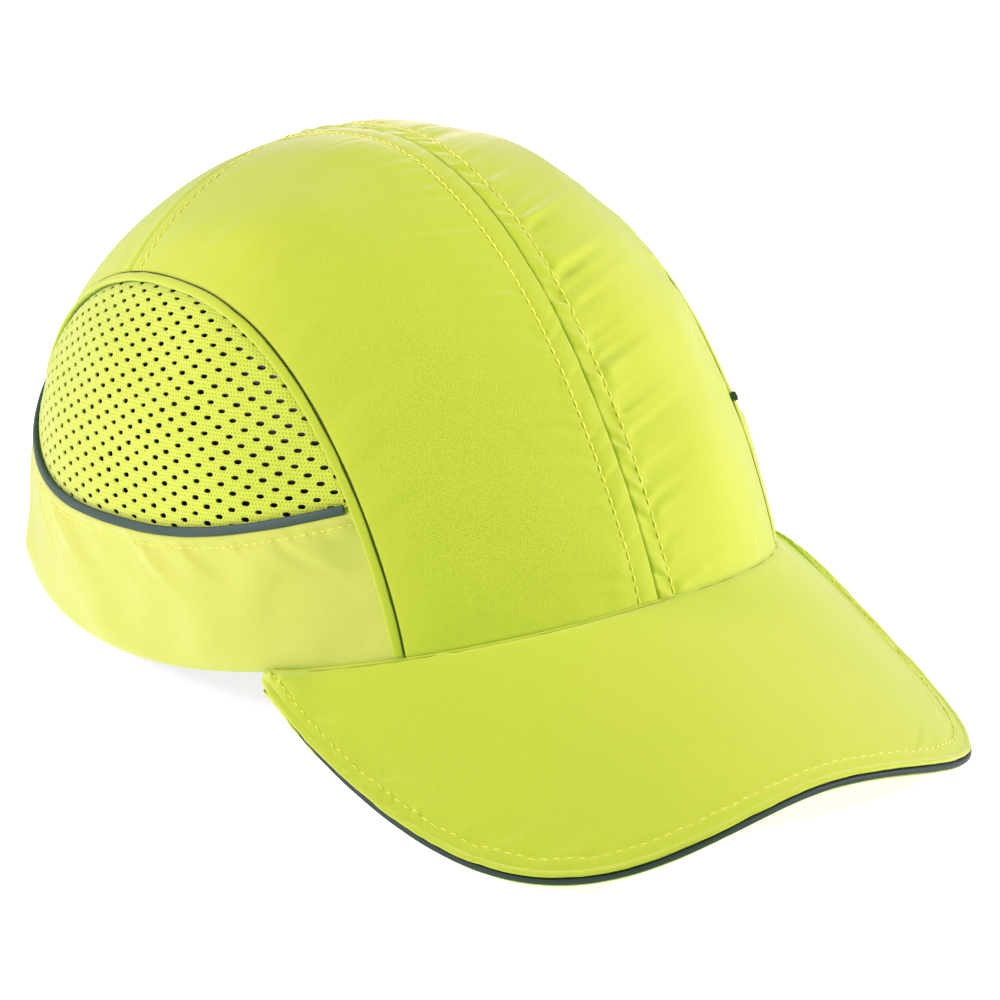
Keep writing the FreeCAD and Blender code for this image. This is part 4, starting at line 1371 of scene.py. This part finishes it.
def ring_sheet(name, first, last, low, high, top, bottom, columns, rows, relief=None, side=1):
    """Sheet between two headings and two heights, between two depths."""
    turn = np.linspace(first, last, columns + 1)[:, None] + np.zeros((1, rows + 1))
    level = np.linspace(0, 1, rows + 1)[None]
    low = low(turn) if callable(low) else low
    high = high(turn) if callable(high) else high
    height = low + (high - low) * level
    climb = climb_to(turn, height)
    base = dome(turn, climb, 0.0)
    along, across = runs(base, 0), runs(base, 1)
    rise = relief(along, across) if relief else 0.0
    outer, inner = dome(turn, climb, top - rise), dome(turn, climb, bottom - rise)
    return sheet_mesh(name, *on_side(side, outer, inner), np.stack([along, across], -1), side < 0)


BAND_END = math.radians(150.0)


def sweatband():
    """Padded band inside the hem: terry over foam, with a sewn channel near its top edge."""
    turn = np.linspace(-BAND_END, BAND_END, 420)
    height = np.array([1.6, 8.0, 16.0, 24.0, 29.0, 29.8, 29.3, 28.3, 27.2, 26.2, 25.0, 22.0, 18.0, 14.0, 10.0,
                       6.5, 4.6, 3.8, 3.0, 2.0, 1.3])
    depth = np.array([2.0, 1.6, 1.5, 1.5, 1.6, 2.0, 2.5, 2.75, 2.35, 2.85, 3.3, 3.8, 4.0, 4.05, 3.95,
                      3.6, 3.0, 2.5, 3.0, 3.0, 2.5])
    count = len(height)
    smooth = np.linspace(0, count, 5 * count, endpoint=False)
    before = np.floor(smooth).astype(int)
    share = smooth - before

    def curve(values):
        p = [values[(before + k) % count] for k in (-1, 0, 1, 2)]
        return p[1] + 0.5 * share * (p[2] - p[0] + share * (2 * p[0] - 5 * p[1] + 4 * p[2] - p[3]
                                     + share * (3 * (p[1] - p[2]) + p[3] - p[0])))
    height, depth = curve(height), curve(depth)
    length = np.degrees(turn) * 1.8
    swell = ripple(length, 4.0, 401)[:, None] * hill(height, 27.0, 3.5)[None] * 0.16
    swell += ripple(length, 9.0, 402)[:, None] * hill(height, 14.0, 8.0)[None] * 0.16
    inward = (depth > 2.2)[None]
    ends = np.clip((BAND_END - np.abs(turn)) / math.radians(2.0), 0.0, 1.0)[:, None] ** 0.5
    thickness = (depth[None] - 1.9) * (0.35 + 0.65 * ends) + 1.9 + swell * inward
    heading = turn[:, None] + 0 * height[None]
    level = hem_height(heading) + height[None]
    vertices = ring_point(heading, level, thickness)
    faces = tube_faces(len(turn), vertices.shape[1], flip=True)
    girth = path_lengths(np.stack([height, depth], -1))
    uv = grid_uv(length, girth).reshape(-1, 2)
    return add_mesh("sweatband_pad", vertices.reshape(-1, 3), faces, uv, 70.0)


band_pad = sweatband()
finish_piece(band_pad, BODY_CAP, "terry", "sweatband_cloth", "sweatband")


def sweatband_line(height, depth):
    """Path round the sweatband at a height above the hem."""
    turn = np.linspace(-BAND_END * 0.985, BAND_END * 0.985, 500)
    path = ring_point(turn, hem_height(turn) + height, depth)
    return path, ring_point(turn, hem_height(turn) + height, depth + 1.0) - path


sew(BODY_CAP, "dark_thread", "sweatband_cloth", "sweatband_stitch",
    [sweatband_line(27.2, 2.4), sweatband_line(3.8, 2.6)], length=2.4, gap=1.0)


def at_height(line, rise):
    """Function from headings to heights at a rise over a line round the head."""
    return lambda turn: line(turn) + rise


FOOT_TAPE_FIRST, FOOT_TAPE_LAST = math.radians(52.0), math.radians(176.0)
for side, word in SIDES:
    foot_tape = ring_sheet("mesh_foot_tape_" + word, FOOT_TAPE_FIRST, FOOT_TAPE_LAST,
                           at_height(piping_height, -3.0), at_height(piping_height, 8.0),
                           2.9, 3.35, 220, 16, lambda a, b: 0.10 * ripple(a, 4.0, 451), side)
    finish_piece(foot_tape, BODY_CAP, "tape", "strap_cloth")

tape_half = 8.0 / SEAM_HALF_WIDTH
tape_panel = Panel(*strip(-tape_half, tape_half, 24, 130, lambda s: 0 * s + math.radians(33),
                          lambda s: rear_seam_over(s) - 0.02))
tape_panel.relief = -1.45 + 0.10 * ripple(tape_panel.along, 3.5, 411) * hill(np.abs(
    tape_panel.across - 0.5 * tape_panel.width), 6.0, 2.5)
tape = tape_panel.sheet("centre_seam_binding_tape", thickness=0.45)
finish_piece(tape, BODY_CAP, "tape", "strap_cloth", "centre_seam_tape")
declare_panel(tape_panel)

label = ring_sheet("blank_size_label", math.radians(126), math.radians(140),
                   at_height(hem_height, 6.0), at_height(hem_height, 22.0), 4.15, 4.5, 36, 26,
                   lambda a, b: -0.25 * hill(b, 0.0, 3.0) + 0.08 * ripple(a, 6.0, 421))
finish_piece(label, BODY_CAP, "label", "label_cloth", "size_label")

PATCH_FIRST, PATCH_LAST, PATCH_LOW, PATCH_HIGH = math.radians(80), math.radians(98), 56.0, 74.0
PATCH_LAYERS = (("loop", 1.3, 2.4, BODY_CAP, 431), ("hook", 2.75, 3.85, BODY_SHELL, 441))
for side, word in SIDES:
    for kind, top, bottom, body, seed in PATCH_LAYERS:
        relief = lambda a, b, seed=seed: 0.05 * billow(a, b, 1.6, seed) - 0.35 * hill(b, 0.0, 0.8)
        patch = ring_sheet(kind + "_tape_" + word, PATCH_FIRST, PATCH_LAST, PATCH_LOW, PATCH_HIGH,
                           top, bottom, 60, 44, relief, side)
        finish_piece(patch, body, kind, "hook_and_loop", kind + "_patch_" + word)
        on = "mesh_panel_knit_" + word if kind == "loop" else "bump_shell"


# ---- rear closure -------------------------------------------------------------------------

STRAP_DEPTH, STRAP_THICK = 1.7, 1.0
EYE_RADIUS = 2.2


def ring_spot(shift=0.0):
    """Plan position of a bar of the ring, and the ring's outward and onward directions."""
    foot = ring_point(np.array(RING_TURN), np.array(STRAP_LOW), 1.5)
    outward = np.array([math.sin(RING_TURN), -math.cos(RING_TURN), 0.0])
    onward = np.array([math.cos(RING_TURN), math.sin(RING_TURN), 0.0])
    return foot + onward * shift, outward, onward


def webbing(name, plan, outward, thickness=STRAP_THICK, low=STRAP_LOW, high=STRAP_HIGH, rows=36):
    """Woven strap standing on edge along a plan path, with rounded selvedges."""
    level = graded(rows, 0.6)
    edge = 1 - 0.55 * (np.abs(2 * level - 1) ** 14)
    height = low + (high - low) * level
    ribs = 0.05 * np.cos(level * 2 * math.pi * 9)
    reach = 0.5 * thickness * edge[None] + ribs[None]
    spots = plan[:, None] + np.zeros((1, rows + 1, 1))
    spots[..., 2] = height[None]
    outer = spots + outward[:, None] * reach[..., None]
    inner = spots - outward[:, None] * reach[..., None]
    length = path_lengths(plan)
    return sheet_mesh(name, outer, inner, grid_uv(length, height - low)), float(length[-1]) * MM


def plan_path(first, last, depth, count):
    """Path round the head at the strap's mid height, with its outward directions."""
    turn = np.linspace(first, last, count)
    level = 0.5 * (STRAP_LOW + STRAP_HIGH)
    path = ring_point(turn, level, depth)
    outward = ring_point(turn, level, depth - 1.0) - path
    outward[:, 2] = 0
    return path, unit(outward)


def round_bar(centre, outward, onward, first, last, count):
    """Turn about a bar of the ring, from an angle off the outward direction to another."""
    angle = np.radians(np.linspace(first, last, count))[:, None]
    way = outward[None] * np.cos(angle) + onward[None] * np.sin(angle)
    return centre[None] + way * EYE_RADIUS, way


def joined_path(*parts):
    """Several paths with their outward directions, end to end."""
    return np.concatenate([p[0] for p in parts]), np.concatenate([p[1] for p in parts])


STRAP_FIRST, STRAP_LAST, STRAP_STEPS = 151.5, 188.2, 110
strap_turn = np.linspace(STRAP_FIRST, STRAP_LAST, STRAP_STEPS)
strap_sink = STRAP_DEPTH + 1.5 * np.clip((158.0 - strap_turn) / 4.0, 0.0, 1.0)
strap_path = plan_path(math.radians(STRAP_FIRST), math.radians(STRAP_LAST), strap_sink, STRAP_STEPS)
strap, length = webbing("closure_strap_webbing", *strap_path)
finish_piece(strap, BODY_CAP, "webbing", "strap_cloth", "closure_strap")

bar_centre, bar_out, bar_on = ring_spot()
flap_path, flap_out = plan_path(math.radians(160.5), math.radians(188.9), 0.1, 90)
lift = -0.75 * np.linspace(0, 1, 90) ** 6
flap_path = flap_path - flap_out * lift[:, None] * 0.9
tail_path = joined_path((flap_path, flap_out), round_bar(bar_centre, bar_out, bar_on, 6, 232, 46))
tail, length = webbing("strap_tail_webbing", *tail_path, thickness=0.95)
finish_piece(tail, BODY_TAIL, "webbing", "strap_cloth", "strap_tail")

tab_centre, tab_out, tab_on = ring_spot(RING_LENGTH)
web_turn = np.radians(np.linspace(196.4, 208.5, 60))
web_sink = STRAP_DEPTH - 2.3 * hill(np.degrees(web_turn), 196.4, 2.5)
web_path = plan_path(web_turn[0], web_turn[-1], web_sink, 60)
tab_path = joined_path(round_bar(tab_centre, tab_out, -tab_on, 222, -4, 46), web_path)
tab, length = webbing("ring_tab_webbing", *tab_path)
finish_piece(tab, BODY_CAP, "webbing", "strap_cloth", "ring_tab")


TAPE_INSET, TAPE_THICK = 1.2, 0.5


def tail_patch(name, first, last, depth):
    """Patch of hook or loop tape, a little narrower than the strap, along a stretch of it."""
    path, outward = plan_path(math.radians(first), math.radians(last), depth, 60)
    return webbing(name, path, outward, TAPE_THICK, STRAP_LOW + TAPE_INSET, STRAP_HIGH - TAPE_INSET)


for name, first, last, depth, body, kind, on in (
        ("tail_hook_tape", 161.3, 170.5, 0.78, BODY_TAIL, "hook", "strap_tail_webbing"),
        ("strap_loop_tape", 158.5, 181.0, 1.10, BODY_CAP, "loop", "closure_strap_webbing")):
    patch, length = tail_patch(name, first, last, depth)
    finish_piece(patch, body, kind, "hook_and_loop")


def strap_line(first, last, height, depth):
    """Path along the strap at a height, between two headings in degrees."""
    turn = np.linspace(math.radians(first), math.radians(last), 90)
    path = ring_point(turn, height, depth)
    path[:, :2] = ring_point(turn, 0.5 * (STRAP_LOW + STRAP_HIGH), depth)[:, :2]
    path[:, 2] = height
    outward = np.stack([np.sin(turn), -np.cos(turn), 0 * turn], -1)
    return path, outward


def strap_cross(turn_degrees, depth, low, high):
    """Path up the strap's face at a heading in degrees."""
    height = np.linspace(low, high, 40)
    turn = math.radians(turn_degrees)
    middle = ring_point(np.array(turn), np.array(0.5 * (STRAP_LOW + STRAP_HIGH)), depth)
    path = np.stack([np.full(40, middle[0]), np.full(40, middle[1]), height], -1)
    return path, np.tile([math.sin(turn), -math.cos(turn), 0.0], (40, 1))


low, high = STRAP_LOW + 1.6, STRAP_HIGH - 1.6
TAIL_BOX, TAIL_FACE = (161.2, 170.8), -0.42
rows = [strap_line(*TAIL_BOX, low, TAIL_FACE), strap_line(*TAIL_BOX, high, TAIL_FACE)]
rows += [strap_cross(turn, TAIL_FACE, low, high) for turn in TAIL_BOX]
sew(BODY_TAIL, "thread", "strap_cloth", "tail_stitch", rows, length=2.0, gap=0.8, radius=0.2)
TAB_BOX, TAB_FACE = (199.5, 203.6), 1.15
rows = [strap_cross(TAB_BOX[1], TAB_FACE, low, high)]
rows += [strap_line(*TAB_BOX, height, TAB_FACE) for height in (low, high)]
sew(BODY_CAP, "thread", "strap_cloth", "tab_stitch", rows, length=2.0, gap=0.8, radius=0.2)


# ---- foam pads ----------------------------------------------------------------------------

PAD_TOP, PAD_BOTTOM = 6.7, 11.6
PAD_VOXEL, PAD_MARCH, PAD_SWELL = 1.7, 14, 1.5


def pad_mesh(name, spot, columns, rows, side):
    """Rounded tablet following the shell: spot gives heading and climb from two shares."""
    u, v = np.meshgrid(np.linspace(-1, 1, columns + 1), np.linspace(-1, 1, rows + 1), indexing="ij")
    corner = 0.86 * (1 - 0.10 * (u * v) ** 2)
    turn, climb = spot(0.5 + 0.5 * u * corner, 0.5 + 0.5 * v * corner)
    edge = np.maximum(np.abs(u), np.abs(v)) ** 6
    outer = dome(turn, climb, PAD_TOP + 0.6 * edge)
    inner = dome(turn, climb, PAD_BOTTOM - 1.8 * edge)
    return sheet_mesh(name, *on_side(side, outer, inner), None, side < 0)


def swell(piece, outer_limit):
    """Blow the pad up a little as cloth, then keep it clear of the shell above it."""
    bpy.context.view_layer.objects.active = piece
    remesh = piece.modifiers.new("remesh", "REMESH")
    remesh.mode = "VOXEL"
    remesh.voxel_size = PAD_VOXEL * MM
    apply_modifiers(piece)
    rest = np.empty(len(piece.data.vertices) * 3)
    piece.data.vertices.foreach_get("co", rest)
    rest = rest.reshape(-1, 3)
    cloth = piece.modifiers.new("cloth", "CLOTH")
    settings = cloth.settings
    settings.use_pressure = True
    settings.uniform_pressure_force = 4.0
    settings.effector_weights.gravity = 0.0
    settings.tension_stiffness = settings.compression_stiffness = 8.0
    settings.shear_stiffness = 5.0
    scene = bpy.context.scene
    cloth.point_cache.frame_start, cloth.point_cache.frame_end = 1, PAD_MARCH
    for number in range(1, PAD_MARCH + 1):
        scene.frame_set(number)
    apply_modifiers(piece)
    scene.frame_set(1)
    moved = np.empty(len(rest) * 3)
    piece.data.vertices.foreach_get("co", moved)
    move = moved.reshape(-1, 3) - rest
    length = np.linalg.norm(move, axis=-1, keepdims=True)
    move *= np.minimum(1.0, PAD_SWELL * MM / np.maximum(length, 1e-9))
    placed = rest + move
    level = (placed - ORIGIN) @ AXES.T / MM
    radial = off_crown(level[:, 0], level[:, 1], np.maximum(level[:, 2], 1.0))
    shallow = radial[0] > -outer_limit
    limit = dome(radial[1], radial[2], outer_limit)
    level = np.where(shallow[:, None], limit, level)
    piece.data.vertices.foreach_set("co", stand(level).ravel())
    piece.data.update()
    smooth = piece.modifiers.new("subdivision", "SUBSURF")
    smooth.levels = smooth.render_levels = 1
    apply_modifiers(piece)
    piece.data.polygons.foreach_set("use_smooth", np.ones(len(piece.data.polygons), bool))


def apply_modifiers(piece):
    """Replace the mesh by what its modifiers make of it."""
    made = bpy.data.meshes.new_from_object(piece.evaluated_get(bpy.context.evaluated_depsgraph_get()))
    piece.modifiers.clear()
    old = piece.data
    piece.data = made
    bpy.data.meshes.remove(old)


def angled_spot(lateral, over):
    """Place on the crown between two angles to the side and two angles over the head, in degrees."""
    def spot(u, v):
        side = np.radians(lateral[0] + (lateral[1] - lateral[0]) * u)
        front = np.radians(over[0] + (over[1] - over[0]) * v)
        return saddle(side, front)
    return spot


def side_spot(u, v):
    """Place of the side pads: from two shares to a heading and a climb."""
    turn = np.radians(62.0 + 56.0 * u)
    height = 48.0 + 36.0 * v
    return turn, climb_to(turn, height)


PADS = (("pad_front", angled_spot((-26, 26), (38, 62)), 1),
        ("pad_crown", angled_spot((-12, 12), (72, 108)), 1),
        ("pad_rear", angled_spot((-26, 26), (118, 142)), 1),
        ("pad_side_left", side_spot, 1),
        ("pad_side_right", side_spot, -1))
for node, spot, side in PADS:
    piece = pad_mesh(node + "_cushion", spot, 30, 30, side)
    swell(piece, PAD_TOP - 0.1)
    finish_piece(piece, BODY_SHELL, "foam", "foam", node)


# ---- carried-over plastics ----------------------------------------------------------------

for node, material in (("bump_shell", "shell"), ("closure_ring", "ring"), ("brim_board", "board")):
    plastic = frame["nodes"][node]
    plastic.data.materials.clear()
    plastic.data.materials.append(MATERIALS[material])


# ---- camera, light and floor ----------------------------------------------------------------

CAMERA_AZIMUTH, CAMERA_ELEVATION = math.radians(-35.894), math.radians(13.996)
CAMERA_ROLL = math.radians(-5.712)
CAMERA_DISTANCE, AIM_HEIGHT = 2193.6, 60.0
# How far aside and down the camera looks of the aim point, as slopes.
AIM_ASIDE, AIM_DOWN = 0.0145022, 0.0164407
LENS, SENSOR = 293.418, 36.0


def place_camera():
    """Long lens before the cap's front, to the wearer's right."""
    a, e, r = CAMERA_AZIMUTH, CAMERA_ELEVATION, CAMERA_ROLL
    back = np.array([math.sin(a) * math.cos(e), -math.cos(a) * math.cos(e), math.sin(e)])
    right = np.array([math.cos(a), math.sin(a), 0.0])
    up = np.cross(back, right)
    across = math.cos(r) * right + math.sin(r) * up
    upward = -math.sin(r) * right + math.cos(r) * up
    position = np.array([0, 0, AIM_HEIGHT]) + back * CAMERA_DISTANCE
    forward = unit(-back + across * AIM_ASIDE - upward * AIM_DOWN)
    side = unit(np.cross(forward, upward))
    top = np.cross(side, forward)
    turned = np.stack([side, top, -forward]) @ AXES
    data = bpy.data.cameras.new("camera")
    data.sensor_width = SENSOR
    data.lens = LENS
    data.clip_end = 50.0
    camera = bpy.data.objects.new("camera", data)
    bpy.context.scene.collection.objects.link(camera)
    matrix = Matrix(turned.T.tolist()).to_4x4()
    matrix.translation = Vector(stand(position).tolist())
    camera.matrix_world = matrix
    bpy.context.scene.camera = camera


LIGHT_AIM_HEIGHT = 0.07


def softbox(name, azimuth, elevation, distance, size, power, colour):
    """Rectangular lamp that looks at the middle of the cap."""
    data = bpy.data.lights.new(name, "AREA")
    data.shape = "RECTANGLE"
    data.size, data.size_y = size
    data.energy = power
    data.color = colour
    light = bpy.data.objects.new(name, data)
    bpy.context.scene.collection.objects.link(light)
    a, e = math.radians(azimuth), math.radians(elevation)
    spot = Vector((math.sin(a) * math.cos(e), -math.cos(a) * math.cos(e), math.sin(e))) * distance
    light.location = spot + Vector((0, 0, LIGHT_AIM_HEIGHT))
    light.rotation_euler = spot.to_track_quat("Z", "Y").to_euler()


KEY_COLOUR = (1.0, 0.61, 1.2)


def light_scene():
    """Two side lamps, a lamp above and a dim room."""
    softbox("key_left", -115, 28, 1.2, (0.5, 0.4), 15.6, KEY_COLOUR)
    softbox("key_right", 50, 28, 1.2, (0.5, 0.4), 18.2, KEY_COLOUR)
    softbox("top", 0, 84, 1.6, (1.2, 1.2), 5.6, (0.84, 1.0, 0.48))
    world = bpy.data.worlds.new("studio")
    world.use_nodes = True
    ground = world.node_tree.nodes["Background"]
    ground.inputs["Color"].default_value = (0.86, 1.0, 0.86, 1.0)
    ground.inputs["Strength"].default_value = 0.25
    bpy.context.scene.world = world
    bpy.context.scene.view_settings.view_transform = "Standard"


def floor():
    """Pale card that the cap stands on."""
    size = 6.0
    corners = [(-size, -size, 0), (size, -size, 0), (size, size, 0), (-size, size, 0)]
    mesh = bpy.data.meshes.new("floor")
    mesh.from_pydata(corners, [], [(0, 1, 2, 3)])
    made = bpy.data.objects.new("floor", mesh)
    bpy.context.scene.collection.objects.link(made)
    n = Nodes("floor_card")
    grain = n.noise(n.place(), 260.0, 3.0)
    made.data.materials.append(n.finish(n.blend(grain, (0.62, 0.62, 0.62, 1), (0.66, 0.66, 0.66, 1)), 0.8,
                                        **{"Emission Color": (1, 1, 1, 1), "Emission Strength": 0.82}))


place_camera()
light_scene()
floor()
